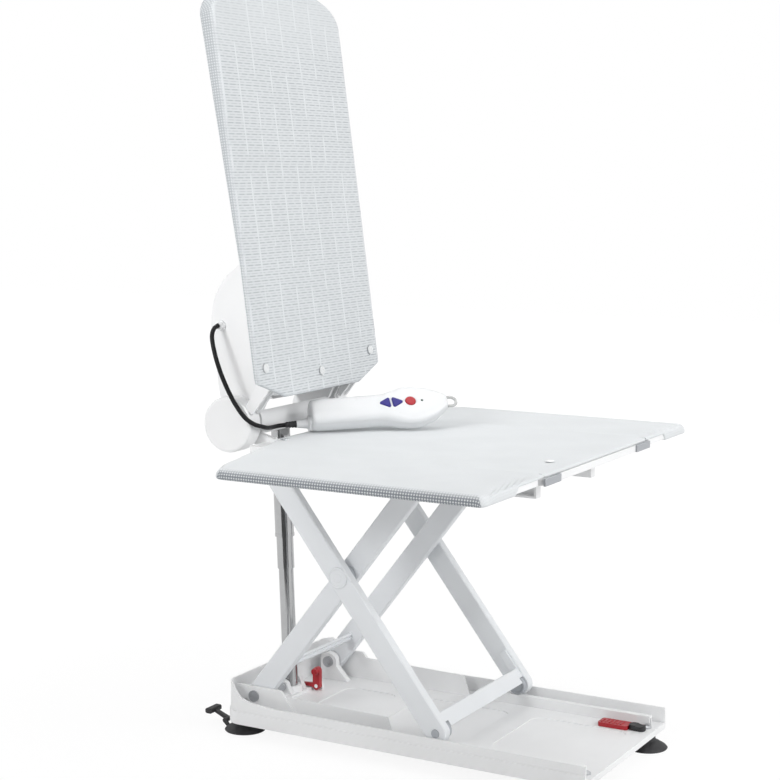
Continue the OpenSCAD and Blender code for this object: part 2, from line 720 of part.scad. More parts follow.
// Channels under the seat for the upper glides
channel_t = 3;
channel_top = pivot_drop + glide_r + touch;
channel_low = pivot_drop - glide_r - touch;
channel_front = top_front_y - top_rear_y - seat_travel - glide_r - 5;
channel_rear = top_front_y - top_rear_y + glide_r + 5;
module seat_channels() color(white) whole() at_seat() pair() {
    x_in = channel_out - channel_w;
    along_y(channel_front, channel_rear) difference() {
        translate([x_in, channel_low - channel_t])
            square([channel_w + 0.5, -seat_t - channel_low + channel_t]);
        translate([x_in + channel_t, channel_low]) square([channel_w, channel_top - channel_low]);
    }
    translate([x_in, channel_front - channel_t, channel_low - channel_t])
        cube([channel_w + 0.5, channel_t, -seat_t - channel_low + channel_t]);
}

// Lugs under the rear of the seat that hold the outer arms' upper ends
bracket_r = 13;
bracket_lugs = [[arm_gap_out - 7, arm_gap_out], [outer_arm_x + run, outer_arm_x + run + bracket_lug_t]];
module seat_brackets() color(white) whole() at_seat() pair() for (lug = bracket_lugs) difference() {
    along_x(lug[0], lug[1]) {
        translate([0, pivot_drop]) circle(bracket_r);
        polygon([[-bracket_r, pivot_drop], [bracket_r, pivot_drop], [18, -seat_t], [-30, -seat_t]]);
    }
    translate([0, 0, pivot_drop]) pin_x(lug[0] - 1, lug[1] + 1, pin_d + fit);
}

module seat_pivot_pins() color(steel) whole() at_seat() pair() translate([0, 0, pivot_drop]) {
    pin_x(bracket_lugs[0][0] - 1, bracket_lugs[1][1] + 0.5, pin_d);
    pin_x(bracket_lugs[1][1], bracket_lugs[1][1] + 2.5, pin_d + 5);
    pin_x(bracket_lugs[0][0] - 3, bracket_lugs[0][0], pin_d + 5);
}

// Upright brackets from the seat's tongue to the recline axis
hinge_pin_d = 14;
hinge_eye_r = 23;
bracket_nose = -6;
module recline_brackets() color(white) whole() at_seat() pair() difference() {
    along_x(bracket_out - bracket_t, bracket_out) {
        translate([hub_y, hub_z]) circle(hinge_eye_r);
        polygon([[bracket_nose, 0], [rear_deck, 0], [rear_deck, -seat_t], [hub_y + 8, hub_z - hinge_eye_r + 1.5],
                 [hub_y - 18, hub_z + 14], [hub_y - 34, 12]]);
    }
    translate([0, hub_y, hub_z]) pin_x(bracket_out - bracket_t - 1, bracket_out + 1, hinge_pin_d + fit);
}

module recline_pins() color(steel) whole() at_hub() pair()
    pin_x(bracket_out - bracket_t - 14, hub_out - 6, hinge_pin_d);

// Flap hinges: knuckles on the flaps and a long rod through the seat's edge
knuckle_d = 10;
knuckle_len = 40;
flap_depth = seat_front - seat_rear;
knuckles = [for (i = [0.5 : 1 : 4.5]) -seat_front + flap_depth * i / 5];
seat_knuckles = [for (i = [1 : 4]) -seat_front + flap_depth * i / 5];
seat_knuckle_len = 30;
rod_d = 5;
module flap_hinge_rods() color(steel) whole() at_seat() pair()
    translate([seat_edge, -seat_front + 12, flap_axis_z]) rotate([-90, 0, 0])
        cylinder(h = flap_depth - 24, d = rod_d);

// Seat cover over the moulding, drawn in at the sides to leave room for the folded flaps, its rear edge
// slanting back to the middle and slotted round the recline brackets
cover_in = 6;
cover_r = 10;
cover_mid = 97;
cover_back = 10;
function cover_outline() = let (half = seat_edge - cover_in) concat(
    rounded([-half, 0], [-half, -seat_front], [half, -seat_front], cover_r),
    rounded([-half, -seat_front], [half, -seat_front], [half, 0], cover_r),
    [[half, side_rear], [cover_mid, cover_back], [-cover_mid, cover_back], [-half, side_rear]]
);
module seat_cover() color(cover_grey) whole() at_seat() translate([0, 0, touch])
    linear_extrude(cover_t) difference() {
        polygon(cover_outline());
        pair() translate([bracket_out - bracket_t - 1.5, bracket_nose - 1.5])
            square([bracket_t + 3, rear_deck - bracket_nose]);
    }

// Clips near the ends of the front edge and one button that hold the cover down
clip_w = 50;
clip_out = seat_edge - 27;
clip_t = 3;
button_side = 82;
button_in = 38;
module cover_clips() color(white) whole() at_seat() {
    pair() translate([clip_out, -seat_front, 0]) along_x(-clip_w / 2, clip_w / 2) polygon([
        [-clip_t, -seat_t], [0, -seat_t], [0, touch], [-clip_t, touch]
    ]);
    translate([-button_side, -seat_front + button_in, touch + cover_t]) rotate_extrude()
        polygon([[0, 0], [6.5, 0], [5.5, 1.4], [0, 2]]);
}

// Side flaps, drawn for +X in the frame of their hinge axis
module at_flap(side) on_side(side) at_seat() translate([seat_edge, 0, flap_axis_z]) children();

flap_in = knuckle_d / 2 + 2 * run;
flap_top = -flap_axis_z - 0.4;
flap_corner = 14;
flap_end = 4;
// Outline of a flap: its rear edge slants from the hinge to the outer corner
function flap_outline(inset) = let (
        near = flap_in + inset, far = flap_w - inset, front = -seat_front + flap_end + inset,
        rear = -seat_rear - flap_end - inset, rear_in = side_rear - flap_end - inset) concat(
    [[near, front]],
    rounded([near, front], [far, front], [far, rear], flap_corner),
    rounded([far, front], [far, rear], [near, rear_in], flap_corner),
    [[near, rear_in]]
);
module flap_plan(inset) polygon(flap_outline(inset));

flap_skin = 2.5;
module flap(side) color(white) whole() at_flap(side) difference() {
    union() {
        difference() {
            translate([0, 0, flap_top - flap_t]) linear_extrude(flap_t) flap_plan(0);
            translate([0, 0, flap_top - flap_t - 1]) linear_extrude(flap_t - flap_skin + 1) flap_plan(4);
        }
        translate([0, 0, flap_top - flap_t]) linear_extrude(flap_t - 1) intersection() {
            flap_plan(1);
            union() {
                for (y = [-seat_front + 50 : 50 : -seat_rear - 20])
                    translate([0, y - rib_t / 2]) square([flap_w, rib_t]);
                translate([flap_w / 2 - rib_t / 2, -seat_front]) square([rib_t, flap_depth]);
            }
        }
        for (y = knuckles) translate([0, y - knuckle_len / 2, 0]) {
            rotate([-90, 0, 0]) cylinder(h = knuckle_len, d = knuckle_d);
            translate([0, 0, -knuckle_d / 2]) cube([flap_in + 3, knuckle_len, knuckle_d / 2 + 2]);
        }
    }
    translate([0, -seat_front - 1, 0]) rotate([-90, 0, 0]) cylinder(h = flap_depth + 2, d = rod_d + fit);
}
module flap_left() flap(1);
module flap_right() flap(-1);

// Cover of a flap: a top sheet, a hem down its outer edge and a lip under it
hem_t = 2.2;
module flap_cover(side) color(cover_grey) whole() at_flap(side) difference() {
    translate([0, 0, flap_top - flap_t - hem_t]) linear_extrude(flap_t + cover_t + hem_t + touch) flap_plan(-hem_t - touch);
    translate([0, 0, flap_top - flap_t - touch]) linear_extrude(flap_t + 2 * touch) flap_plan(-touch);
    translate([-20, 0, flap_top - flap_t - 3]) linear_extrude(flap_t + 3) translate([0, -seat_front])
        square([flap_w + 4, flap_depth + 2 * rear_slant]);
    translate([-flap_in, -seat_front - 10, -20]) cube([2 * flap_in + 4, flap_depth + 2 * rear_slant, 40]);
}
module flap_cover_left() flap_cover(1);
module flap_cover_right() flap_cover(-1);

// Knobs under a flap's outer edge, which slide down the bath's wall
knob_ys = [for (part = [0.18, 0.54, 0.85]) -seat_front + part * flap_depth];
module flap_knobs(side) color(nylon) whole() at_flap(side) for (y = knob_ys)
    translate([flap_w - 24, y, flap_top - flap_t - 6]) {
        cylinder(h = 6 + flap_t - flap_skin, d = 7);
        rotate_extrude() polygon([[0, 0], [5, 0], [7, 1.5], [7, 4.5], [5.5, 6], [0, 6]]);
    }
module flap_knobs_left() flap_knobs(1);
module flap_knobs_right() flap_knobs(-1);

// Backrest, in a frame that leans with it: y is depth behind the recline axis, z runs up the board

back_top = back_low + back_len;
low_half = 105;
low_rise = 25;
corner_w = 98;
corner_h = 50;
// Outline of the backrest: a short lower edge, rising corners, straight sides and elliptic upper corners
function back_outline(inset) = let (half = back_w / 2 - inset, top = back_top - inset) concat(
    [[-low_half, back_low + inset], [low_half, back_low + inset], [half, back_low + low_rise + inset / 2]],
    [for (a = [0 : 10 : 90]) [half - (corner_w - inset) * (1 - cos(a)), top - (corner_h - inset) * (1 - sin(a))]],
    [for (a = [90 : 10 : 180]) [-half + (corner_w - inset) * (1 + cos(a)), top - (corner_h - inset) * (1 - sin(a))]],
    [[-half, back_low + low_rise + inset / 2]]
);

board_skin = 5;
groove_half = 20;
groove_top = back_low + 105;
side_wrap = 3.4;
margin_in = 120;
margin_t = 3;
margin_low = 218;
margin_top = back_top - 36;
// What is cut from behind the side margins, which grow thicker towards the top
module margin_relief() pair() along_x(margin_in, back_w) polygon([
    [board_front + margin_t, 0], [board_front + margin_t, margin_low], [back_rear + 0.5, margin_top],
    [back_rear + back_t, margin_top], [back_rear + back_t, 0]
]);

// Struts from the board's lower corners to the hubs
strut_t = 4;
module corner_struts() difference() {
    for (x = [housing_w / 2 + 2, housing_w / 2 + 18]) along_x(x, x + strut_t) polygon([
        [board_front + 1, back_low + 16], [-hub_r - 2, 11], [-hub_r + 8, 22], [board_rear, back_low + 34],
        [board_front + 1, back_low + 34]
    ]);
    pin_x(0, housing_w, 2 * hub_r + touch);
}

module backrest_board() color(white) whole() at_back() {
    ribs_rear = board_rear;
    pair() corner_struts();
    difference() {
        along_y(board_front, ribs_rear) polygon(back_outline(side_wrap));
        along_y(board_front + board_skin, ribs_rear + 1) difference() {
            polygon(back_outline(side_wrap + 6));
            pair() for (x = [groove_half, back_w / 5, margin_in - rib_t])
                translate([x, 0]) square([rib_t, back_top]);
            for (z = [back_low + 50 : 75 : back_top - 30])
                translate([-back_w / 2, z]) square([back_w, rib_t]);
        }
        // Groove behind the board's foot that leaves room for the column
        translate([0, 0, back_low - 1]) along_y(board_front + board_skin, ribs_rear + 1)
            translate([-groove_half, 0]) square([2 * groove_half, groove_top - back_low]);
        margin_relief();
    }
}

lip_w = 26;
lip_clear = 66;
module backrest_cover() color(cover_grey) whole() at_back() difference() {
    along_y(back_face, back_rear) polygon(back_outline(0));
    along_y(board_front - 0.2, board_rear + 0.2) polygon(back_outline(side_wrap - 0.3));
    along_y(board_rear - 1, back_rear + 1) polygon(back_outline(lip_w));
    // Behind the front sheet the cover's lower end is open
    translate([-back_w, board_front - 0.2, 0])
        cube([2 * back_w, back_t, back_low + low_rise + 8]);
    // The lip behind the board ends above the reach of the cord when the backrest leans right back
    translate([-back_w, board_rear, 0]) cube([2 * back_w, back_t, back_low + low_rise + lip_clear]);
    margin_relief();
}

// Press buttons near the cover's lower edge
snap_side = back_w / 2 - 24;
snap_up = 28;
snap_places = [[-snap_side, back_low + snap_up + 18], [0, back_low + snap_up], [snap_side, back_low + snap_up + 18]];
module cover_snaps() color(white) whole() at_back() for (place = snap_places)
    translate([place[0], back_face, place[1]]) rotate([90, 0, 0]) rotate_extrude()
        polygon([[0, 0], [7, 0], [6.4, 1.3], [3, 2], [0, 1.4]]);

// Rear housing behind the lower backrest: a moulded shell, open at the front and below
housing_rear = 25;
housing_low = 22;
shoulder_z = 142;
housing_top = 246;
wall_t = 3;
notch_half = 19;
notch_h = 44;
// Side profile of the housing: straight up its rear face, then a smooth curve to the backrest
function shoulder(t, inset) = let (
        a = [housing_rear - inset, shoulder_z],
        b = [housing_rear - inset - 2, shoulder_z + 78 - inset],
        c = [board_rear + 12, housing_top - 14 - inset],
        d = [board_rear, housing_top - inset])
    pow(1 - t, 3) * a + 3 * t * pow(1 - t, 2) * b + 3 * t * t * (1 - t) * c + pow(t, 3) * d;
module housing_side(inset) {
    polygon(concat(
        [[board_rear, back_low + 24], [-34, 12], [housing_rear - inset, housing_low]],
        [for (i = [0 : 12]) shoulder(i / 12, inset)]
    ));
}

// Its hollow, open towards the board and below
module housing_hollow() polygon(concat(
    [[board_rear - 5, -5], [housing_rear - wall_t, -5]],
    [for (i = [0 : 12]) shoulder(i / 12, wall_t)],
    [[board_rear - 5, housing_top - wall_t - 1]]
));

module housing_shell() difference() {
    along_x(-housing_w / 2, housing_w / 2) housing_side(0);
    along_x(-housing_w / 2 + wall_t, housing_w / 2 - wall_t) housing_hollow();
    // Cooling slots across the rear face
    for (z = [84 : 14 : 126]) translate([0, housing_rear - wall_t - 2, z]) along_y(0, 10) slot(-34, 34, 5);
    // Notch in the rear face's lower edge, which the column passes half way down
    translate([-notch_half, housing_rear - wall_t - 6, housing_low - 2]) cube([2 * notch_half, 20, notch_h]);
}

// Inner webs beside the seat's brackets and flanges that bolt to the board
web_out = bracket_out - bracket_t - run;
drum_r = 34;
module rear_housing() color(white) whole() at_back() difference() {
    union() {
        housing_shell();
        pair() along_x(housing_w / 2 - wall_t, housing_w / 2) circle(hub_r - 4);
        pair() along_x(web_out - 6, web_out) intersection() {
            union() {
                housing_side(wall_t - 0.5);
                circle(drum_r);
            }
            translate([-70, -drum_r - 1]) square([140, drum_r + 106]);
        }
        // Curved apron between the webs, in front of the column's upper end
        intersection() {
            difference() {
                pin_x(-web_out + 1, web_out - 1, 2 * drum_r);
                pin_x(-web_out, web_out, 2 * drum_r - 2 * wall_t);
            }
            along_x(-web_out, web_out) polygon([[0, 0], [-2 * drum_r, 0.9 * drum_r], [-2 * drum_r, -1.5 * drum_r]]);
        }
    }
    pin_x(-housing_w, housing_w, hinge_pin_d + fit);
}

// Round hubs outside the housing, with a stepped end face
module hub_discs() color(white) whole() at_hub() pair() translate([housing_w / 2, 0, 0]) rotate([0, 90, 0])
    rotate_extrude() polygon([
        [hinge_pin_d / 2 + fit / 2, 0], [hub_r, 0], [hub_r, hub_out - housing_w / 2 - 4],
        [hub_r - 1.2, hub_out - housing_w / 2 - 1.2], [hub_r - 4, hub_out - housing_w / 2], [0, hub_out - housing_w / 2],
        [0, hub_out - housing_w / 2 - 5], [hinge_pin_d / 2 + fit / 2, hub_out - housing_w / 2 - 5]
    ]);

// Drive behind the backrest, clear of the column's slot in the middle
motor_r = (housing_w / 2 - 68) / 2;
motor_x = -notch_half - 14 - motor_r;
motor_y = -18;
motor_low = 42;
motor_len = 96;
motor_end = 8;
foot_l = 32;
module drive_motor() color(steel) whole() at_back() translate([motor_x, motor_y, motor_low]) {
    cylinder(h = motor_len, r = motor_r);
    translate([0, 0, motor_len]) cylinder(h = motor_end, r1 = motor_r, r2 = motor_r - motor_end);
    translate([0, 0, -6]) cylinder(h = 6, r = 9);
    // Feet that reach the board's ribs
    for (z = [motor_len / 7, motor_len * 0.77]) translate([-foot_l / 2, board_rear - motor_y, z])
        cube([foot_l, -board_rear + motor_y, motor_end]);
}

gearbox_w = 2 * motor_r + 8;
gearbox_h = 74;
gearbox_rear = -20;
module drive_gearbox() color(nylon) whole() at_back() translate([-motor_x, gearbox_rear, motor_low]) {
    translate([-gearbox_w / 2, board_rear - gearbox_rear, 0])
        cube([gearbox_w, gearbox_rear - board_rear + gearbox_w / 2, gearbox_h]);
    translate([0, 0, gearbox_h]) cylinder(h = 10, r = gearbox_w / 3);
}

// Gland on the housing's side that the cord leaves through
gland_z = 145;
gland_y = 7;
module cord_gland() color(white) whole() at_back() translate([-housing_w / 2, gland_y, gland_z])
    rotate([0, -90, 0]) difference() {
        union() {
            cylinder(h = 3, d = cord_d + 9);
            translate([0, 0, 3]) cylinder(h = 6, d1 = cord_d + 6, d2 = cord_d + 3);
        }
        translate([0, 0, 8]) cylinder(h = 2, d = cord_d + 0.6);
    }

// Handset, lying on the seat and rolled towards one side

handset_place = [48.55, -74.99];
handset_yaw = -45.4;
handset_tilt = 2.2;
handset_roll = 42;
handset_z = cover_t + touch + 30.8;
module at_handset() at_seat() translate([handset_place[0], handset_place[1], handset_z])
    rotate([0, 0, handset_yaw]) rotate([0, -handset_tilt, 0]) rotate([handset_roll, 0, 0]) children();

half_len = handset_len / 2;
head_start = 8;
part_z = 4;
face_z = 15;
slice_r = 9;
tip_w = 22;
tip_t = 17;

// A cross-section of the handset: a rounded slice under the flat face, wide w and thick t, drawn in by inset
module slice(x, w, t, inset) translate([x, 0, face_z - t / 2]) rotate([90, 0, 90]) linear_extrude(0.5)
    rounded_rect(w - 2 * inset, t - 2 * inset, min(slice_r, t / 2 - 0.5) - inset, $fn = 32);

// The handset's outside, or its inside when drawn in by inset
module handset_form(inset) {
    hull() {
        slice(-half_len + inset, grip_w - 4, handset_t - 2, inset);
        slice(-half_len + 8, grip_w - 1, handset_t, inset);
        slice(head_start, grip_w, handset_t, inset);
    }
    hull() {
        slice(head_start - 8, grip_w - 1, handset_t - 1, inset);
        slice(head_start + 32, head_w, handset_t - 5, inset);
        slice(head_start + 54, head_w - 2, handset_t - 6, inset);
        slice(half_len - 20, head_w - 20, handset_t - 9, inset);
        slice(half_len - 0.5 - inset, tip_w, tip_t, inset);
    }
}

up_x = 9.6;
down_x = 25.3;
stop_x = 47.5;
lamp_x = 65.6;
button_r = 12;
stop_r = 8;
button_gap = 0.5;
module button_shape(x, grow) translate([x, 0]) {
    if (x == stop_x) circle(stop_r + grow);
    if (x != stop_x) intersection() {
        rotate(x == up_x ? 180 : 0) circle(button_r + 2 * grow, $fn = 3);
        circle(0.82 * button_r + grow);
    }
}

module handset_top() color(white) whole() at_handset() difference() {
    handset_form(0);
    handset_form(shell_t);
    translate([-handset_len, -head_w, part_z - 60]) cube([2 * handset_len, 2 * head_w, 60]);
    for (x = [up_x, down_x, stop_x]) translate([0, 0, part_z]) linear_extrude(handset_t)
        button_shape(x, button_gap);
    translate([lamp_x, 0, 0]) cylinder(h = handset_t, d = 4);
}

module handset_bottom() color(white) whole() at_handset() difference() {
    handset_form(0);
    handset_form(shell_t);
    translate([-handset_len, -head_w, part_z]) cube([2 * handset_len, 2 * head_w, 60]);
}

// Hanging loop at the handset's head: two short legs and a half ring
loop_r = 8.5;
loop_leg = 6;
loop_bar = 4.5;
module handset_loop() color(white) whole() at_handset() translate([half_len + 0.1, 0, face_z - tip_t / 2]) {
    for (y = [-loop_r, loop_r]) translate([0, y, 0]) pin_x(0, loop_leg, loop_bar);
    translate([loop_leg, 0, 0]) rotate([0, 0, -90]) rotate_extrude(angle = 180)
        translate([loop_r, 0]) circle(d = loop_bar);
}

// Screwed neck at the cord end, near the grip's lower side: a flange and a taper
neck_len = 22;
neck_low = [-9, -9];
module handset_neck() color(white) whole() at_handset() translate([-half_len, neck_low[0], neck_low[1]])
    rotate([0, -90, 0]) rotate_extrude() polygon([
        [0, 0], [11.5, 0], [11.5, 3.6], [8, 5], [5.4, neck_len], [0, neck_len]
    ]);

// Rubber strain relief with rings
relief_len = 17;
module strain_relief() color(rubber) whole() at_handset()
    translate([-half_len - neck_len, neck_low[0], neck_low[1]]) rotate([0, -90, 0])
        rotate_extrude() polygon(concat([[0, 0]],
            [for (i = [0 : 3], j = [0 : 3])
                [5.2 - 0.25 * i - (j > 1 ? 0.8 : 0), relief_len * (i + [0, 0.6, 0.65, 0.95][j]) / 4]],
            [[cord_d / 2, relief_len], [0, relief_len]]));

// Buttons stand a little above the handset's face and have a collar under it
button_proud = 2;
button_deep = 5;
module button(x) translate([0, 0, face_z - button_deep]) linear_extrude(button_deep + button_proud)
    button_shape(x, 0);
module button_up() color(blue) whole() at_handset() button(up_x);
module button_down() color(blue) whole() at_handset() button(down_x);
module button_stop() color(red) whole() at_handset() button(stop_x);

// Cord from the gland to the strain relief, as a tube swept along a smooth curve through chosen points

cord_points = [
    [-121, 313, 608], [-132, 312.5, 604], [-142, 309, 594], [-148, 302, 577], [-150, 293, 553],
    [-149.5, 281, 526], [-148.5, 266, 500], [-146.5, 250, 480], [-139, 239.5, 470], [-122, 236, 464],
    [-104, 239, 460], [-86, 244.5, 457.6], [-70, 247.2, 456.8], [-60.5, 246, 457], [-53.38, 240.89, 457.4]
];
// Direction in which the cord meets the strain relief: along the handset
cord_end = [cos(handset_tilt) * cos(handset_yaw), cos(handset_tilt) * sin(handset_yaw), sin(handset_tilt)];
cord_sides = 8;
cord_steps = 3;

// A point on the smooth curve through the chosen points, t counted in points
function cord_point(i) = cord_points[max(0, min(len(cord_points) - 1, i))];
function cord_at(t) = let (i = min(floor(t), len(cord_points) - 2), f = t - i,
        a = cord_point(i - 1), b = cord_point(i), c = cord_point(i + 1), d = cord_point(i + 2))
    0.5 * (2 * b + (c - a) * f + (2 * a - 5 * b + 4 * c - d) * f * f + (3 * b - a - 3 * c + d) * f * f * f);
function unit(v) = v / norm(v);

// One ring of the tube, square to the curve
function cord_ring(p, along) = let (side = unit(cross(along, [0.3, 0.2, 1])), up = cross(side, along))
    [for (k = [0 : cord_sides - 1]) p + cord_d / 2 * (cos(360 * k / cord_sides) * side + sin(360 * k / cord_sides) * up)];

module handset_cord() color(rubber) whole() {
    last = (len(cord_points) - 1) * cord_steps;
    path = [for (i = [0 : last]) cord_at(i / cord_steps)];
    rings = [for (i = [0 : last])
        cord_ring(path[i], i == last ? cord_end : unit(path[i + 1] - path[max(0, i - 1)]))];
    corners = [for (ring = rings, p = ring) p];
    n = cord_sides;
    polyhedron(points = corners, faces = concat(
        [[for (k = [n - 1 : -1 : 0]) k]],
        [for (i = [0 : last - 1], k = [0 : n - 1]) each [
            [i * n + (k + 1) % n, (i + 1) * n + k, i * n + k],
            [i * n + (k + 1) % n, (i + 1) * n + (k + 1) % n, (i + 1) * n + k]]],
        [[for (k = [0 : n - 1]) last * n + k]]
    ));
}

base_tray();
roller_track_left();
roller_track_right();
suction_cups();
cup_studs();
rear_pivot_pins();
column_foot();
column_foot_pin();
column_latch();
front_release_slider();
front_release_pad();
release_tab_left();
release_tab_right();
column_tube_lower();
lift_spindle();
column_tube_middle();
column_tube_upper();
inner_arm_left();
inner_arm_right();
inner_cross_plate();
upper_glides();
outer_arm_left();
outer_arm_right();
front_cross_board();
centre_pivot_pins();
centre_bushes();
centre_caps();
lower_glides();
seat_moulding();
seat_channels();
seat_brackets();
seat_pivot_pins();
recline_brackets();
recline_pins();
flap_hinge_rods();
seat_cover();
cover_clips();
flap_left();
flap_right();
flap_cover_left();
flap_cover_right();
flap_knobs_left();
flap_knobs_right();
backrest_board();
backrest_cover();
cover_snaps();
rear_housing();
hub_discs();
drive_motor();
drive_gearbox();
cord_gland();
handset_top();
handset_bottom();
handset_loop();
handset_neck();
strain_relief();
button_up();
button_down();
button_stop();
handset_cord();
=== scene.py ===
import json
import math

import bmesh
import bpy
import numpy as np
from mathutils import Matrix, Vector


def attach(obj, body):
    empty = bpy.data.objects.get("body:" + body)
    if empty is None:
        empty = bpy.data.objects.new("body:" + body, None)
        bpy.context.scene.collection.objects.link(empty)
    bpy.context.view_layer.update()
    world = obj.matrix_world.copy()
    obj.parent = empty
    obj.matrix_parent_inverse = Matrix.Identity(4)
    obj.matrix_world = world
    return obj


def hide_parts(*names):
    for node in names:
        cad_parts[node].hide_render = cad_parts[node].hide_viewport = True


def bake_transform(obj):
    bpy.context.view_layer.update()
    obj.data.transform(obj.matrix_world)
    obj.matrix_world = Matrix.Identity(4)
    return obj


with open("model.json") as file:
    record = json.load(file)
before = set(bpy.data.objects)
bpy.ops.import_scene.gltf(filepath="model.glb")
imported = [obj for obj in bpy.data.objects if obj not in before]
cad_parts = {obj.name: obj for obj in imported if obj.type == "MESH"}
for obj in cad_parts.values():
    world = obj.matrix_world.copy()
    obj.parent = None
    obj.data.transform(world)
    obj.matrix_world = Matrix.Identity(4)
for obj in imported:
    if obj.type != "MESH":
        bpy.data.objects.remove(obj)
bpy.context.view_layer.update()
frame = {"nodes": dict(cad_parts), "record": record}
scene = bpy.context.scene
cad = frame["nodes"]
MM = 0.001
TURN = 2 * math.pi

# Sizes of the part in millimetres, the same as in its source, and angles in radians
BASE_LEN = 583
BASE_LIFT = 20
PIVOT_H = 38
REAR_PIVOT_IN = 38.5
ARM_LOW = 256.7
ARM_UP = 192.5
LIFT_ANGLE = math.radians(52)
SEAT_OVER_PIVOT = 28
SEAT_FRONT = 455
SEAT_REAR = 53
SEAT_EDGE = 187
SIDE_REAR = -15
FLAP_W = 165
FLAP_INSET = 4
COVER_T = 4.6
TOUCH = 0.3
BACK_LEAN = math.radians(7.9)
BACK_FACE = -86.8
BACK_T = 24
BACK_LOW = 31.4
BACK_TOP = BACK_LOW + 598
BACK_HALF = 172
LOW_HALF = 105
LOW_RISE = 25
MARGIN_DEPTH = 7.8
MARGIN_LOW = 218
MARGIN_TOP = BACK_TOP - 36
HUB_BACK = 73
HUB_UP = 25
HANDSET_PLACE = (48.55, -74.99, COVER_T + TOUCH + 30.8)
HANDSET_YAW = math.radians(-45.4)
HANDSET_TILT = math.radians(2.2)
HANDSET_ROLL = math.radians(42)
HANDSET_HALF = 106
SHELL_T = 2.2
FACE_Z = 15
PART_Z = 4

# The seat's frame is on the seat moulding's top, over the rear pivots under it
# FRAME_Y moves the tray's middle to where the middle of the whole part is at y = 0
FRAME_Y = -18.75
SEAT_Y = BASE_LEN / 2 - REAR_PIVOT_IN - (ARM_LOW - ARM_UP) * math.cos(LIFT_ANGLE) + FRAME_Y
SEAT_Z = BASE_LIFT + PIVOT_H + (ARM_LOW + ARM_UP) * math.sin(LIFT_ANGLE) + SEAT_OVER_PIVOT


# Frames of the part: a point in millimetres goes to the shared frame in metres
def at_seat(x, y, z):
    return Vector((x, SEAT_Y + y, SEAT_Z + z)) * MM


def at_back(x, y, z):
    c, s = math.cos(BACK_LEAN), math.sin(BACK_LEAN)
    return at_seat(x, HUB_BACK + y * c + z * s, HUB_UP - y * s + z * c)


HANDSET = (Matrix.Translation(at_seat(*HANDSET_PLACE))
           @ Matrix.Rotation(HANDSET_YAW, 4, "Z")
           @ Matrix.Rotation(-HANDSET_TILT, 4, "Y")
           @ Matrix.Rotation(HANDSET_ROLL, 4, "X"))


def at_handset(x, y, z):
    return HANDSET @ (Vector((x, y, z)) * MM)


# Camera of the photograph, in metres, radians and pixels
CAMERA_PLACE = (-2.211, -1.17925, 0.838)
CAMERA_AZIMUTH = math.radians(-60.48)
CAMERA_HEIGHT = math.radians(7.27)
CAMERA_ROLL = math.radians(0.14)
FOCAL_PIXELS = 1741.7
PHOTO_WIDTH = 780
SENSOR_WIDTH = 36


def add_camera():
    c, s = math.cos(CAMERA_AZIMUTH), math.sin(CAMERA_AZIMUTH)
    level = math.cos(CAMERA_HEIGHT)
    back = Vector((s * level, -c * level, math.sin(CAMERA_HEIGHT)))
    right = Vector((c, s, 0))
    up = back.cross(right)
    roll_c, roll_s = math.cos(CAMERA_ROLL), math.sin(CAMERA_ROLL)
    rolled_right = roll_c * right + roll_s * up
    rolled_up = roll_c * up - roll_s * right
    turn = Matrix((rolled_right, rolled_up, back)).transposed().to_4x4()
    data = bpy.data.cameras.new("camera")
    data.sensor_fit = "HORIZONTAL"
    data.sensor_width = SENSOR_WIDTH
    data.lens = SENSOR_WIDTH * FOCAL_PIXELS / PHOTO_WIDTH
    camera = bpy.data.objects.new("camera", data)
    scene.collection.objects.link(camera)
    camera.matrix_world = Matrix.Translation(CAMERA_PLACE) @ turn
    scene.camera = camera


add_camera()


# Mesh helpers
def add_mesh(name, points, faces, uvs=None, edge=None, sharp=50):
    """A smooth piece that is sharp where its faces meet at more than an angle in degrees."""
    mesh = bpy.data.meshes.new(name)
    mesh.from_pydata([tuple(p) for p in points], [], faces)
    if uvs is not None:
        layer = mesh.uv_layers.new(name="UVMap")
        for loop in mesh.loops:
            layer.data[loop.index].uv = uvs[loop.vertex_index]
    if edge is not None:
        attribute = mesh.attributes.new("edge", "FLOAT", "POINT")
        attribute.data.foreach_set("value", np.array(edge, np.float32))
    work = bmesh.new()
    work.from_mesh(mesh)
    bmesh.ops.recalc_face_normals(work, faces=work.faces)
    work.to_mesh(mesh)
    work.free()
    mesh.polygons.foreach_set("use_smooth", [True] * len(mesh.polygons))
    mesh.set_sharp_from_angle(angle=math.radians(sharp))
    piece = bpy.data.objects.new(name, mesh)
    scene.collection.objects.link(piece)
    return piece


def strip(first, second):
    """Faces between two open rows of point numbers."""
    return [(a, b, d, c) for a, b, c, d in zip(first, first[1:], second, second[1:])]


def strips(rows):
    """Faces between each open row of point numbers and the next."""
    return [face for first, second in zip(rows, rows[1:]) for face in strip(first, second)]


def bridge(first, second):
    """Faces between two closed rings of point numbers."""
    return strip(first + first[:1], second + second[:1])


def capped(rings):
    """Faces of a closed solid through a stack of rings of point numbers."""
    faces = strips([ring + ring[:1] for ring in rings])
    return faces + [tuple(reversed(rings[0])), tuple(rings[-1])]


def clamped(value, low, high):
    """How far a value is on its way from low to high, from 0 to 1."""
    return min(max((value - low) / (high - low), 0), 1)


def smooth_step(value, low, high):
    t = clamped(value, low, high)
    return t * t * (3 - 2 * t)


def curve_points(points, steps):
    """A smooth curve through the points."""
    points = [Vector(p) for p in points]
    ends = [2 * points[0] - points[1]] + points + [2 * points[-1] - points[-2]]
    found = []
    for i in range(len(points) - 1):
        a, b, c, d = ends[i:i + 4]
        for k in range(steps):
            t = k / steps
            found.append(0.5 * (2 * b + (c - a) * t + (2 * a - 5 * b + 4 * c - d) * t ** 2
                                + (3 * b - a - 3 * c + d) * t ** 3))
    return found + [points[-1]]


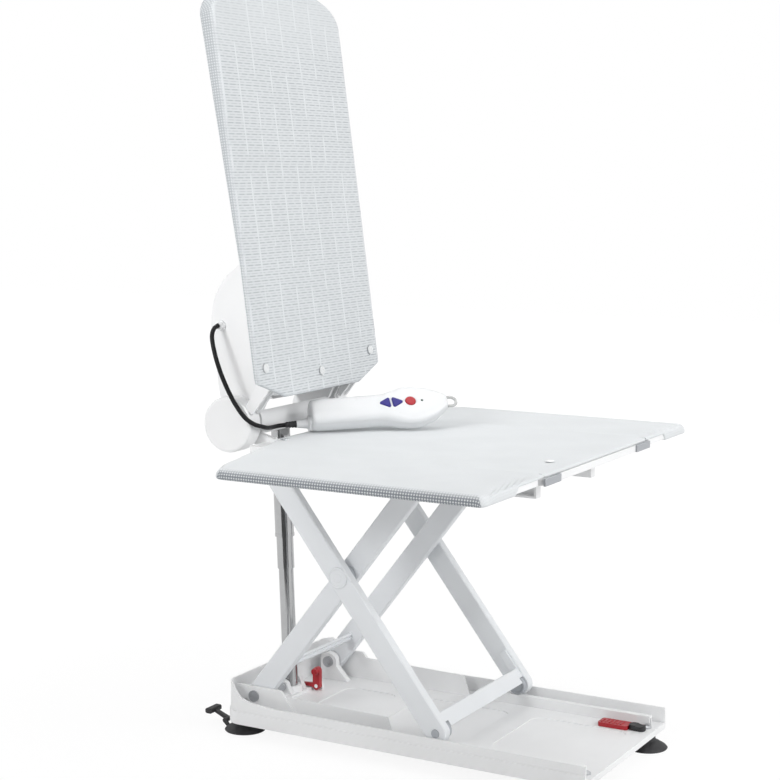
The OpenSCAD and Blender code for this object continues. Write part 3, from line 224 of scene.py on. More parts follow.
def tube(name, path, radius, sides):
    """A closed tube of one radius along a path, with its own length in its UVs."""
    points, uvs = [], []
    side = (path[1] - path[0]).normalized().orthogonal().normalized()
    run = 0
    for i, place in enumerate(path):
        tangent = (path[min(i + 1, len(path) - 1)] - path[max(i - 1, 0)]).normalized()
        side = (side - tangent * side.dot(tangent)).normalized()
        other = tangent.cross(side)
        if i:
            run += (place - path[i - 1]).length
        for k in range(sides):
            turn = TURN * k / sides
            points.append(place + radius * (math.cos(turn) * side + math.sin(turn) * other))
            uvs.append((k / sides, run))
    rings = [list(range(i * sides, (i + 1) * sides)) for i in range(len(path))]
    return add_mesh(name, points, capped(rings), uvs)


# Node helpers
def add(tree, kind, inputs=None, **settings):
    made = tree.nodes.new(kind)
    for key, value in settings.items():
        setattr(made, key, value)
    for key, value in (inputs or {}).items():
        if isinstance(value, bpy.types.NodeSocket):
            tree.links.new(value, made.inputs[key])
        else:
            made.inputs[key].default_value = value
    return made


def link(tree, value, shader, key):
    tree.links.new(value, shader.inputs[key])


def maths(tree, operation, *values):
    return add(tree, "ShaderNodeMath", dict(enumerate(values)), operation=operation).outputs[0]


def plus(tree, first, second):
    return maths(tree, "ADD", first, second)


def times(tree, first, second):
    return maths(tree, "MULTIPLY", first, second)


def largest(tree, first, second):
    return maths(tree, "MAXIMUM", first, second)


def cosine(tree, value):
    return maths(tree, "COSINE", value)


def ramp(tree, value, low, high, start=0.0, end=1.0):
    return add(tree, "ShaderNodeMapRange", {
        "Value": value, "From Min": low, "From Max": high, "To Min": start, "To Max": end,
    }, interpolation_type="SMOOTHSTEP").outputs["Result"]


def mix_colour(tree, share, first, second):
    return add(tree, "ShaderNodeMix", {0: share, 6: first, 7: second}, data_type="RGBA").outputs[2]


def noise(tree, vector, scale, detail=3.0, roughness=0.5):
    return add(tree, "ShaderNodeTexNoise", {
        "Vector": vector, "Scale": scale, "Detail": detail, "Roughness": roughness,
    }).outputs[0]


def add_bump(tree, shader, strength, depth, height, **normal):
    inputs = {"Strength": strength, "Distance": depth, "Height": height, **normal}
    link(tree, add(tree, "ShaderNodeBump", inputs).outputs["Normal"], shader, "Normal")


def object_place(tree):
    return add(tree, "ShaderNodeTexCoord").outputs["Object"]


def seen_directly(tree):
    """1 for what the camera sees, also in gloss and through glass, and 0 for what only lights the part."""
    path = add(tree, "ShaderNodeLightPath").outputs
    seen = largest(tree, path["Is Camera Ray"], path["Is Glossy Ray"])
    return largest(tree, seen, path["Is Transmission Ray"])


def shade(colour, factor):
    return tuple(min(c * factor, 1.0) for c in colour[:3]) + (1.0,)


def new_material(name, **values):
    material = bpy.data.materials.new(name)
    material.use_nodes = True
    tree = material.node_tree
    shader = tree.nodes["Principled BSDF"]
    for key, value in values.items():
        shader.inputs[key.replace("_", " ")].default_value = value
    return material, tree, shader


# A hard surface: slow changes of tone, fine grain, worn edges and rubbed patches
def hard_material(name, colour, wear, rough, grain, depth, edge_radius):
    material, tree, shader = new_material(name)
    place = object_place(tree)
    slow = noise(tree, place, scale=7.0, detail=4.0)
    fine = noise(tree, place, scale=grain, detail=2.0)
    rubbed = noise(tree, place, scale=46.0, detail=6.0, roughness=0.65)
    tone = mix_colour(tree, ramp(tree, slow, 0.3, 0.7), shade(colour, 0.965), shade(colour, 1.015))
    rounded = add(tree, "ShaderNodeBevel", {"Radius": edge_radius}, samples=8).outputs["Normal"]
    flat = add(tree, "ShaderNodeNewGeometry").outputs["Normal"]
    meet = add(tree, "ShaderNodeVectorMath", {0: rounded, 1: flat}, operation="DOT_PRODUCT")
    edge = times(tree, ramp(tree, meet.outputs["Value"], 0.995, 0.86), ramp(tree, rubbed, 0.35, 0.65))
    link(tree, mix_colour(tree, edge, tone, wear), shader, "Base Color")
    uneven = plus(tree, times(tree, rubbed, 0.6), times(tree, fine, 0.4))
    link(tree, ramp(tree, uneven, 0.3, 0.7, *rough), shader, "Roughness")
    add_bump(tree, shader, strength=0.6, depth=depth, height=fine, Normal=rounded)
    return material


# A moulding in two colours, the second above a level
def two_tone_material(name, low, high, level):
    material = hard_material(name, low, wear=high, rough=(0.36, 0.5), grain=900.0, depth=0.00004,
                             edge_radius=0.0005)
    tree = material.node_tree
    shader = tree.nodes["Principled BSDF"]
    height = add(tree, "ShaderNodeSeparateXYZ", {0: object_place(tree)}).outputs[2]
    below = shader.inputs["Base Color"].links[0].from_socket
    above = ramp(tree, height, level - 0.0005, level)
    link(tree, mix_colour(tree, above, below, high), shader, "Base Color")
    return material


# A drawn metal: fine lines along its axis and faint handling marks
def metal_material(name, colour, rough, lines, depth, stretch):
    material, tree, shader = new_material(name, Metallic=1.0)
    place = object_place(tree)
    drawn = add(tree, "ShaderNodeMapping", {"Vector": place, "Scale": stretch}).outputs["Vector"]
    streak = noise(tree, drawn, scale=lines, detail=3.0, roughness=0.6)
    marks = noise(tree, place, scale=34.0, detail=5.0, roughness=0.6)
    tone = mix_colour(tree, ramp(tree, marks, 0.35, 0.7), shade(colour, 0.93), colour)
    link(tree, tone, shader, "Base Color")
    uneven = plus(tree, times(tree, streak, 0.5), times(tree, marks, 0.5))
    link(tree, ramp(tree, uneven, 0.35, 0.7, *rough), shader, "Roughness")
    add_bump(tree, shader, strength=0.35, depth=depth, height=streak)
    return material


# Rubber: matt, with bloom and a faint pebble
def rubber_material(name, colour, bloom, rough, pebble, **values):
    material, tree, shader = new_material(name, **values)
    place = object_place(tree)
    cloud = noise(tree, place, scale=60.0, detail=5.0, roughness=0.6)
    grain = noise(tree, place, scale=pebble, detail=2.0)
    link(tree, mix_colour(tree, ramp(tree, cloud, 0.42, 0.75), colour, bloom), shader, "Base Color")
    link(tree, ramp(tree, cloud, 0.3, 0.7, *rough), shader, "Roughness")
    add_bump(tree, shader, strength=0.5, depth=0.00008, height=grain)
    return material


# The covers' knit in metres: distance of its rows and holes, and of its upright lines
KNIT_PITCH = 0.0039
KNIT_COLUMN = 0.042
# Dashes between two upright lines, and how far two rows are out of step at most, in radians
COLUMN_DASHES = 2.13
ROW_SHIFT = 6.28
# Heights on the backrest between which the dashes fade towards the top
FADE_FROM = 0.5
FADE_TO = 0.6


# Mesh knit of the covers: rows of dashes, strong and faint by turns, between thin upright lines, and holes,
# with painted shade on the hem along the edge
def knit_material(name, colour, dark, band, dashes, holes, rim_holes_and_shade):
    """A knit with its grid of holes along the edge of its cover.

    The band is where that grid starts and where it is full, as distances from the edge. The last three
    values are how much shows of the dashes, of the grid away from the edge and of the grid along it.
    The grid along the edge, in the dark colour, is partly real holes and partly painted shade of the hem.
    """
    material, tree, shader = new_material(name, Sheen_Weight=0.1, Sheen_Roughness=0.5)
    flat = add(tree, "ShaderNodeTexCoord").outputs["UV"]
    split = add(tree, "ShaderNodeSeparateXYZ", {0: flat})
    across, along = split.outputs[0], split.outputs[1]
    inward = add(tree, "ShaderNodeAttribute", attribute_name="edge").outputs["Fac"]

    # Upright lines
    turn = times(tree, across, TURN / KNIT_COLUMN)
    shown = ramp(tree, noise(tree, flat, scale=22.0, detail=1.0), 0.38, 0.52)
    upright = times(tree, ramp(tree, cosine(tree, turn), 0.94, 0.99), shown)

    # Rows of dashes
    drift = noise(tree, flat, scale=9.0, detail=2.0)
    level = plus(tree, maths(tree, "DIVIDE", along, KNIT_PITCH), times(tree, drift, 0.5))
    rib = cosine(tree, times(tree, level, TURN))
    number = maths(tree, "FLOOR", plus(tree, level, 0.5))
    faint = maths(tree, "PINGPONG", number, 1.0)
    strength = maths(tree, "SUBTRACT", 1.0, times(tree, faint, 0.45))
    shift = add(tree, "ShaderNodeTexWhiteNoise", {"W": number}, noise_dimensions="1D").outputs["Value"]
    step = cosine(tree, plus(tree, times(tree, turn, COLUMN_DASHES), times(tree, shift, ROW_SHIFT)))
    broken = ramp(tree, step, -1.0, -0.1, 0.4, 1.0)
    dash = times(tree, ramp(tree, rib, -0.1, 0.7), maths(tree, "SUBTRACT", 1.0, upright))
    dash = times(tree, times(tree, dash, broken), strength)
    fading = times(tree, ramp(tree, along, FADE_TO, FADE_FROM, 0.45, 1.0), dashes)

    # Grid of holes, wider along the edge, where it also paints the shade of the hem
    grid = TURN / KNIT_PITCH
    both = plus(tree, cosine(tree, times(tree, across, grid)), cosine(tree, times(tree, along, grid)))
    dots = times(tree, ramp(tree, both, 0.3, 1.4), holes)
    wide = times(tree, ramp(tree, both, -1.7, 0.3), rim_holes_and_shade)
    field = largest(tree, times(tree, dash, fading), dots)
    rim = ramp(tree, inward, *band)
    marks = add(tree, "ShaderNodeMix", {0: rim, 2: field, 3: wide}, data_type="FLOAT").outputs[0]

    # Tone of the thread, and its relief
    thread = noise(tree, flat, scale=1400.0, detail=2.0)
    cloud = noise(tree, flat, scale=12.0, detail=3.0)
    tone = mix_colour(tree, ramp(tree, cloud, 0.3, 0.7), shade(colour, 0.975), shade(colour, 1.01))
    tone = mix_colour(tree, times(tree, ramp(tree, thread, 0.3, 0.7), 0.14), tone, shade(colour, 0.86))
    tone = mix_colour(tree, times(tree, upright, dashes), tone, shade(colour, 1.07))
    link(tree, mix_colour(tree, times(tree, marks, 0.85), tone, dark), shader, "Base Color")
    link(tree, ramp(tree, thread, 0.2, 0.8, 0.78, 0.94), shader, "Roughness")
    relief = maths(tree, "SUBTRACT", times(tree, thread, 0.25), marks)
    add_bump(tree, shader, strength=0.4, depth=0.0005, height=relief)
    return material


WHITE = (0.87, 0.875, 0.88, 1)
materials = {
    "white_plastic": hard_material(
        "white_plastic", WHITE, wear=(0.878, 0.882, 0.886, 1),
        rough=(0.36, 0.52), grain=900.0, depth=0.00005, edge_radius=0.0004),
    "arm_paint": hard_material(
        "arm_paint", (0.785, 0.805, 0.825, 1), wear=(0.62, 0.64, 0.66, 1),
        rough=(0.32, 0.46), grain=1300.0, depth=0.00004, edge_radius=0.0009),
    # Darker than the white plastic: painted shade that holds down the strong light on the handset's top
    "handset_plastic": hard_material(
        "handset_plastic", (0.755, 0.765, 0.775, 1), wear=(0.79, 0.80, 0.81, 1),
        rough=(0.26, 0.40), grain=1800.0, depth=0.00002, edge_radius=0.0005),
    "nylon": hard_material(
        "nylon", (0.40, 0.42, 0.45, 1), wear=(0.52, 0.53, 0.55, 1),
        rough=(0.40, 0.56), grain=1100.0, depth=0.00004, edge_radius=0.0006),
    "red_plastic": hard_material(
        "red_plastic", (0.40, 0.012, 0.02, 1), wear=(0.62, 0.10, 0.10, 1),
        rough=(0.26, 0.42), grain=1200.0, depth=0.00003, edge_radius=0.0007),
    "chrome_tube": metal_material(
        "chrome_tube", (0.47, 0.475, 0.48, 1),
        rough=(0.10, 0.2), lines=900.0, depth=0.000006, stretch=(1, 1, 0.06)),
    "steel_pin": metal_material(
        "steel_pin", (0.55, 0.56, 0.58, 1),
        rough=(0.24, 0.40), lines=1600.0, depth=0.00002, stretch=(0.08, 1, 1)),
    "black_rubber": rubber_material(
        "black_rubber", (0.018, 0.018, 0.020, 1), bloom=(0.045, 0.045, 0.048, 1),
        rough=(0.50, 0.72), pebble=1500.0),
    "blue_rubber": rubber_material(
        "blue_rubber", (0.022, 0.016, 0.19, 1), bloom=(0.035, 0.028, 0.23, 1),
        rough=(0.42, 0.60), pebble=2200.0),
    "cover_fabric": knit_material(
        "cover_fabric", (0.695, 0.72, 0.735, 1), dark=(0.27, 0.295, 0.325, 1),
        band=(0.006, -0.006), dashes=0.64, holes=0.0, rim_holes_and_shade=0.62),
}
# A lighter copy of the cover fabric: its lighter colour is painted light, for the stronger light on the
# seat's top
lit_seat_fabric = knit_material(
    "lit_seat_fabric", (0.735, 0.757, 0.77, 1), dark=(0.15, 0.17, 0.2, 1),
    # Its darker dark colour and full rim grid are partly real holes and partly painted shade on the flaps'
    # hems, which turn under
    band=(0.010, -0.003), dashes=0.0, holes=0.1, rim_holes_and_shade=1.0)
clip_plastic = two_tone_material("clip_plastic", (0.36, 0.375, 0.40, 1), WHITE, level=0.444)
loop_plastic = hard_material(
    "loop_plastic", (0.50, 0.505, 0.50, 1), wear=(0.60, 0.60, 0.60, 1),
    rough=(0.22, 0.36), grain=1600.0, depth=0.00002, edge_radius=0.0004)
snap_plastic = hard_material(
    "snap_plastic", (0.755, 0.77, 0.775, 1), wear=(0.79, 0.80, 0.80, 1),
    rough=(0.34, 0.48), grain=1200.0, depth=0.00003, edge_radius=0.0004)
lens = hard_material(
    "lens", (0.06, 0.09, 0.07, 1), wear=(0.12, 0.14, 0.12, 1),
    rough=(0.10, 0.20), grain=900.0, depth=0.00001, edge_radius=0.0003)
cable = rubber_material(
    "cable", (0.006, 0.006, 0.007, 1), bloom=(0.012, 0.012, 0.013, 1),
    rough=(0.40, 0.58), pebble=1800.0, Specular_IOR_Level=0.22)


def finish_piece(piece, slot, body=None, material=None):
    piece.data.materials.append(material or materials[slot])
    if body:
        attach(piece, body)


def paint_node(node, material):
    slots = cad[node].data.materials
    if not slots:
        slots.append(material)
    for index in range(len(slots)):
        slots[index] = material


for part in frame["record"]["subparts"]:
    paint_node(part["node"], materials[part["material_slot"]])
paint_node("cover_clips", clip_plastic)
paint_node("centre_caps", materials["arm_paint"])
paint_node("handset_loop", loop_plastic)
paint_node("cover_snaps", snap_plastic)


# The cord, from the gland on the housing to the strain relief of the handset
CORD_D = 0.0066
CORD = [
    (-121, 313, 608), (-132, 312.5, 604), (-142, 309, 594), (-148, 302, 577), (-150, 293, 553),
    (-149.5, 281, 526), (-148.5, 266, 500), (-146.5, 250, 480), (-139, 239.5, 470), (-122, 236, 464),
    (-104, 239, 460), (-86, 244.5, 457.6), (-70, 247.2, 456.8), (-60.5, 246, 457), (-53.38, 240.89, 457.4),
]
cord_path = curve_points([Vector((x, y + FRAME_Y, z)) * MM for x, y, z in CORD], steps=10)
cord = tube("cord", cord_path, CORD_D / 2, sides=20)
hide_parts("handset_cord")
finish_piece(cord, "black_rubber", material=cable)
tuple(cord_path[0])
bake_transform(cord)
cord_length = sum((b - a).length for a, b in zip(cord_path, cord_path[1:]))
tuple(cord_path[0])


# Fitted covers: a soft front sheet over a moulding, turned round its edge and hemmed behind it

# Rounding and lip of an edge that ends on its moulding, and the rounding that is added where it wraps round
EDGE_ROUND = 2.3
EDGE_LIP = 3.4
WRAP_ROUND = 1.7
# Softness of a hem's corners at most, and the thickness of its lip
HEM_SOFT = 3.0
LIP_T = 1.7
# How much closer the points of a row stand near its ends
CROWDING = 0.75
# Distances from the edge over which the swell sets in, and how far it is sunk
SWELL_FROM = (1, 26)
SWELL_SINK = 0.7
# Distances from the edge over which folds set in
FOLDS_FROM = (-3, 5)
# Extra distance from the edge that keeps the holes and the painted hem shade off the ends of a turned
# cover's rows
# It sets in with the share of the way to the edge that runs along the row
PLAIN_ENDS = 24
PLAIN_FROM = (0.3, 0.8)
# A point nearer than this is on the edge
ON_EDGE = 0.01


def spaced(low, high, count, ends):
    """Numbers from low to high, closer together near the ends."""
    steps = [i / (count - 1) for i in range(count)]
    eased = [(1 - ends) * t + ends * (0.5 - 0.5 * math.cos(math.pi * t)) for t in steps]
    return [low + (high - low) * t for t in eased]


def swell(u, v):
    """Soft unevenness of a cover in millimetres, from three waves."""
    return (0.35 * math.sin(u / 41 + 0.7) * math.sin(v / 57 + 0.3) + 0.22 * math.sin(u / 23 - v / 36)
            + 0.15 * math.sin(u / 13 + v / 17 + 1.1))


def corner_cut(near, size):
    """How far a rounded corner draws an edge back at a distance from the corner's side."""
    if near >= size:
        return 0
    t = 1 - math.sqrt(max(near, 0) / size)
    return size * t * t


def edge_distance(points, starts, ends):
    """How far each flat point lies from the nearest of some straight runs, and the way to it."""
    places = np.array(points)[:, None]
    start = np.array(starts)[None]
    run = np.array(ends)[None] - start
    share = np.clip(((places - start) * run).sum(2) / np.maximum((run * run).sum(2), 1e-9), 0, 1)
    offset = start + share[..., None] * run - places
    length = np.linalg.norm(offset, axis=2)
    nearest = length.argmin(1)
    pick = np.arange(len(points))
    return length[pick, nearest], offset[pick, nearest]


def grid_border(grid):
    """Point numbers round a grid, along its first row and back along its last."""
    right = [row[-1] for row in grid[1:-1]]
    left = [row[0] for row in grid[1:-1]]
    return grid[0] + right + grid[-1][::-1] + left[::-1]


def ways_in(border):
    """The way inwards at each flat point of a border."""
    ways = []
    for before, after in zip(border[-1:] + border[:-1], border[1:] + border[:1]):
        run = (Vector(after) - Vector(before)).normalized()
        ways.append(Vector((-run.y, run.x)))
    return ways


def hem_steps(rounding, full, lip, is_open):
    """Steps of a hem, as how far in and how deep: down, under and back as a lip, or only down."""
    if is_open:
        return [(0, rounding), (0, full * 0.6), (0, full * 0.8)] + [(0, full)] * 4
    soft = min(HEM_SOFT, full * 0.4)
    return [
        (0, rounding), (0, full - soft), (soft * 0.3, full - soft * 0.3), (soft, full), (lip, full),
        (lip + 0.2, full - LIP_T), (max(lip * 0.5, soft), full - LIP_T),
    ]


def fitted_cover(name, lengths, limits, columns, wrap, place,
                 open_rows=(), turned=False, dimples=(), folds=None):
    """A cover with one row of points at each length, between the limits there.

    Wrap gives a row's rounding, depth and lip, and place puts a flat point and its depth on the part. An
    open row runs on into another cover and has no hem. A turned cover has its rows across the part, and the
    holes and painted shade of its hem along its first and last row alone. A dimple is a place, a reach and
    a depth, and folds gives the depth of the folds at a place.
    """
    flat = [(u, v) for v in lengths for u in spaced(*limits(v), columns, CROWDING)]
    grid = [list(range(i * columns, (i + 1) * columns)) for i in range(len(lengths))]
    border = grid_border(grid)
    inward = ways_in([flat[n] for n in border])
    outward = {number: -way for number, way in zip(border, inward)}
    loop = [flat[n] for n in border + border[:1]]
    calms = edge_distance(flat, loop[:-1], loop[1:])[0]
    hemmed = [(a, b) for a, b in zip(loop, loop[1:]) if not (a[1] == b[1] and a[1] in open_rows)]
    distances, ways = edge_distance(flat, *zip(*hemmed))

    # The front sheet; cloth has each point's place on the cloth, which is longer where it rolls over
    points, cloth, edge = [], [], []
    for number, (u, v) in enumerate(flat):
        near, calm = float(distances[number]), float(calms[number])
        rounding = wrap(v)[0]
        short = rounding - min(near, rounding)
        longer = rounding * math.asin(min(short / rounding, 1)) - short
        way = Vector(ways[number]) / near if near > ON_EDGE else outward[number]
        depth = rounding - math.sqrt(max(rounding ** 2 - short ** 2, 0))
        depth += smooth_step(calm, *SWELL_FROM) * (SWELL_SINK - swell(u, v))
        for du, dv, reach, deep in dimples:
            depth += deep * math.exp(-((u - du) ** 2 + (v - dv) ** 2) / reach ** 2)
        if folds:
            depth += folds(u, v) * smooth_step(near, *FOLDS_FROM)
        plain = PLAIN_ENDS * smooth_step(abs(way.x), *PLAIN_FROM) if turned else 0
        points.append(place(u, v, depth))
        cloth.append((u + way.x * longer, v + way.y * longer))
        edge.append(near - longer + plain)
    faces = strips(grid)

    # The hem, ring by ring
    ring = border
    border_rows = [flat[n][1] for n in border]
    hems = [hem_steps(*wrap(v), v in open_rows) for v in border_rows]
    slid = [wrap(v)[0] * (math.pi / 2 - 1) for v in border_rows]
    for stage in range(1, len(hems[0])):
        fresh = list(range(len(points), len(points) + len(border)))
        for k, number in enumerate(border):
            u, v = flat[number]
            (last_inset, last_depth), (inset, depth) = hems[k][stage - 1:stage + 1]
            reach = abs(inset - last_inset) + abs(depth - last_depth)
            slid[k] += reach
            move = inward[k] * inset
            points.append(place(u + move.x, v + move.y, depth))
            cloth.append((u - inward[k].x * slid[k], v - inward[k].y * slid[k]))
            edge.append(edge[ring[k]] - reach)
        faces += bridge(ring, fresh)
        ring = fresh
    uvs = [(b * MM, a * MM) if turned else (a * MM, b * MM) for a, b in cloth]
    return add_mesh(name, points, faces, uvs, [e * MM for e in edge], sharp=60)


# Backrest cover: cut away at its lower corners, rounded at the top, dimpled at its snaps

# Height of the rounded top, and how far it draws the sides in
TOP_RISE = 50
TOP_DRAW = 98
# Where the cover begins to wrap the board, and the rounding that each millimetre of depth adds
BACK_WRAP_FROM = (50, 64)
DEEP_ROUND = 0.15
# Lip that is added behind the top edge, and where
TOP_LIP = 22.6
TOP_LIP_FROM = (592, 600)
# Dimples at the snaps
SNAPS = ((-148, BACK_LOW + 46), (0, BACK_LOW + 28), (148, BACK_LOW + 46))
SNAP_REACH = 11
SNAP_DEEP = 0.9
# Rows of points: shares of the lower corners' height, and the count between them and the top
LOW_SHARES = (0, 0.03, 0.07, 0.12, 0.2, 0.3, 0.45, 0.6, 0.75, 0.88, 0.96)
MIDDLE_ROWS = 64
BACK_COLUMNS = 45


def back_limits(v):
    half = BACK_HALF
    if v < BACK_LOW + LOW_RISE:
        half = LOW_HALF + (BACK_HALF - LOW_HALF) * (v - BACK_LOW) / LOW_RISE
    elif v > BACK_TOP - TOP_RISE:
        rise = (v - BACK_TOP + TOP_RISE) / TOP_RISE
        half = BACK_HALF - TOP_DRAW * (1 - math.sqrt(max(1 - rise ** 2, 0)))
    return -half, half


def back_wrap(v):
    t = smooth_step(v, *BACK_WRAP_FROM)
    deep = MARGIN_DEPTH + (BACK_T - MARGIN_DEPTH) * clamped(v, MARGIN_LOW, MARGIN_TOP)
    rounding = EDGE_ROUND + WRAP_ROUND * t + DEEP_ROUND * (deep - MARGIN_DEPTH)
    return rounding, COVER_T + (deep - COVER_T) * t, EDGE_LIP + TOP_LIP * smooth_step(v, *TOP_LIP_FROM)


def back_place(u, v, depth):
    return at_back(u, BACK_FACE + depth, v)


middle_start = BACK_LOW + LOW_RISE
middle_len = BACK_TOP - TOP_RISE - BACK_LOW - LOW_RISE
back_rows = [BACK_LOW + LOW_RISE * t for t in LOW_SHARES]
back_rows += [middle_start + middle_len * i / MIDDLE_ROWS for i in range(MIDDLE_ROWS)]
back_rows += [BACK_TOP - TOP_RISE + TOP_RISE * math.sin(math.radians(a)) for a in range(0, 91, 5)]
back_cover = fitted_cover("back_cover", back_rows, back_limits, BACK_COLUMNS, back_wrap, back_place,
                          dimples=[(u, v, SNAP_REACH, SNAP_DEEP) for u, v in SNAPS])
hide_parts("backrest_cover")
finish_piece(back_cover, "cover_fabric", "backrest")


# Seat cover: its rear edge slants back to the middle and is slotted round the recline brackets

# Half width of the cover and of its rear middle, the middle's reach to the rear, and the front corners
COVER_HALF = 181
COVER_MID = 97
COVER_BACK = 10
SEAT_CORNER = 10
# Sides of a slot and the end of it
SLOT_IN = 96.5
SLOT_OUT = 109.5
SLOT_END = -7.5
# A dimple near the front, as its place, reach and depth
SEAT_DIMPLE = (-SEAT_FRONT + 38, -82, 13, 0.8)
SEAT_COLUMNS = 57


def seat_limits(v):
    side = COVER_HALF - abs(v)
    front = -SEAT_FRONT + corner_cut(side, SEAT_CORNER)
    if SLOT_IN <= abs(v) <= SLOT_OUT:
        return front, SLOT_END
    slant = SIDE_REAR + (COVER_BACK - SIDE_REAR) * side / (COVER_HALF - COVER_MID)
    return front, min(slant, COVER_BACK)


def seat_wrap(v):
    return EDGE_ROUND, COVER_T, EDGE_LIP


def seat_place(u, v, depth):
    return at_seat(v, u, TOUCH + COVER_T - depth)


# Rows from the middle to one side, close together beside the slot and the edge
half_rows = [9 * i for i in range(10)] + [87, 91, 93.5, 95, 96, 96.45]
half_rows += [96.55, 97.5, 100, 103, 106, 108.5, 109.45]
half_rows += [109.55, 110, 111, 112.5, 115] + [120 + 6 * i for i in range(9)]
half_rows += [171, 172.6, 174.4, 176.4, 178, 179.2, 180.1, 180.7, COVER_HALF]
seat_rows = [-x for x in reversed(half_rows[1:])] + half_rows
seat_cover = fitted_cover("seat_pad", seat_rows, seat_limits, SEAT_COLUMNS, seat_wrap, seat_place,
                          open_rows=(-COVER_HALF, COVER_HALF), turned=True, dimples=[SEAT_DIMPLE])
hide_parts("seat_cover")
finish_piece(seat_cover, "cover_fabric", "seat", lit_seat_fabric)


# Flap covers: each crosses its hinge to the seat cover's edge; the rear edge slants, the front is creased

# How far the cover stands over its moulding, and its ends, with the rear end at the hinge
COVER_OVER = 2.5
FLAP_END = FLAP_W + COVER_OVER
FLAP_FRONT = -SEAT_FRONT + FLAP_INSET - COVER_OVER
FLAP_REAR = -SEAT_REAR - FLAP_INSET + COVER_OVER
FLAP_REAR_IN = SIDE_REAR - FLAP_INSET + COVER_OVER
SLANT_FROM = 4.5
FLAP_CORNER = 14
# Where the cover joins the seat cover, and how far it drops from there
FLAP_JOIN = -5.8
FLAP_DROP = 0.4
FLAP_DROP_TO = 8
# Where the cover begins to wrap its moulding, with the depth and the lip that it gains there
FLAP_WRAP_FROM = (66, 78)
FLAP_DEEP = 10.5
FLAP_LIP = 15
# Rounding that is added towards the outer end
OUTER_ROUND = 7.5
OUTER_FROM = (130, 158)
# Creases of the flap covers: where each starts on the front edge, how wide it is and how far in it runs
CREASES = ((156, 2.1, 22), (138, 1.8, 30), (117, 2.3, 34), (98, 1.9, 28), (78, 2.1, 20))
CREASE_SLOPE = 3.2
CREASE_DEEP = 2.3
FLAP_COLUMNS = 141


def flap_limits(v):
    slant = FLAP_REAR_IN + (FLAP_REAR - FLAP_REAR_IN) * max(v - SLANT_FROM, 0) / (FLAP_END - SLANT_FROM)
    cut = corner_cut(FLAP_END - v, FLAP_CORNER)
    return FLAP_FRONT + cut, slant - cut


def flap_wrap(v):
    t = smooth_step(v, *FLAP_WRAP_FROM)
    rounding = EDGE_ROUND + WRAP_ROUND * t + OUTER_ROUND * smooth_step(v, *OUTER_FROM)
    return rounding, COVER_T + FLAP_DEEP * t, EDGE_LIP + FLAP_LIP * t


def flap_folds(u, v):
    """Creases that run in from the front edge and slant towards the hinge."""
    run = u - FLAP_FRONT
    deep = 0
    for start, width, reach in CREASES:
        aside = (v - start + CREASE_SLOPE * run) / math.hypot(1, CREASE_SLOPE) / width
        deep += CREASE_DEEP * math.exp(-aside * aside) * (1 - smooth_step(run, 0.4 * reach, reach))
    return deep


def flap_place(side):
    """The function that puts a flat point on the flap of one side."""
    def place(u, v, depth):
        top = TOUCH + COVER_T - FLAP_DROP * smooth_step(v, FLAP_JOIN, FLAP_DROP_TO)
        return at_seat(side * (SEAT_EDGE + v), u, top - depth)
    return place


flap_rows = [FLAP_JOIN] + list(range(-5, 14, 2)) + list(range(15, 56, 5))
flap_rows += spaced(58, FLAP_END - 16, count=42, ends=0)
flap_rows += [FLAP_END - FLAP_CORNER * (1 - math.sin(math.radians(a))) for a in range(0, 91, 6)]
for side, word in ((1, "left"), (-1, "right")):
    flap = fitted_cover("flap_pad_" + word, flap_rows, flap_limits, FLAP_COLUMNS, flap_wrap,
                        flap_place(side), open_rows=(FLAP_JOIN,), turned=True, folds=flap_folds)
    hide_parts("flap_cover_" + word)
    finish_piece(flap, "cover_fabric", material=lit_seat_fabric)
    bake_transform(flap)


# Handset shells, lofted along the handset and parted on one line
# Each station is its place along the handset, its width, its thickness and its top
STATIONS = [
    (-106, 35, 27.5, 11.8), (-105.4, 38.4, 30.4, 13.2), (-104, 41, 32.8, 14.3), (-101.5, 43, 34.6, 14.85),
    (-98, 44.6, 35.6, 15), (-90, 45.1, 36, 15), (-60, 45.3, 36, 15), (-30, 45.6, 36, 15),
    (-4, 45.9, 35.9, 15), (4, 46.6, 35.7, 15), (10, 48.6, 35.2, 15), (16, 52.2, 34.5, 15),
    (22, 57, 33.7, 15), (28, 62, 32.8, 15), (34, 66.4, 31.9, 15), (40, 69.2, 31.1, 15),
    (45, 70, 30.8, 15), (52, 69.7, 30.4, 15), (58, 68.8, 30.1, 15), (64, 66.4, 29.7, 15),
    (72, 60.5, 28.8, 15), (80, 54.4, 27.7, 15), (86, 49.4, 26.7, 15), (92, 41.4, 23.9, 15),
    (98, 32.8, 20.9, 15), (102, 27.2, 18.8, 14.9), (104.2, 23.8, 17.2, 14.5), (105.4, 20.6, 15.2, 13.7),
    (105.9, 17.4, 12.6, 12.4),
]
STATION_XS, *STATION_SIZES = zip(*STATIONS)
# How square a section is, half the gap on the parting line, and the points of a shell's ring
SQUARENESS = 3.6
PART_GAP = 0.2
RING_POINTS = 41
# Angle in degrees above which a shell's edge is sharp, and how far its tip stops short
SHELL_SHARP = 42
TIP_SHORT = 0.1


def shell_ring(x, inset, upper):
    """Section of one shell, drawn in by inset, from the parting line on one side to that on the other."""
    width, thick, top = (float(np.interp(x, STATION_XS, sizes)) for sizes in STATION_SIZES)
    width = width / 2 - inset
    thick = thick / 2 - inset
    middle = top - thick - inset
    power = 2 / SQUARENESS
    edge = (PART_Z + PART_GAP if upper else PART_Z - PART_GAP) - middle
    start = math.asin(math.copysign(min(abs(edge) / thick, 1) ** (1 / power), edge))
    sweep = math.pi - 2 * start if upper else -math.pi - 2 * start
    ring = []
    for k in range(RING_POINTS):
        turn = start + sweep * k / (RING_POINTS - 1)
        c, s = math.cos(turn), math.sin(turn)
        y = width * math.copysign(abs(c) ** power, c)
        z = middle + thick * math.copysign(abs(s) ** power, s)
        ring.append((y, z))
    return ring


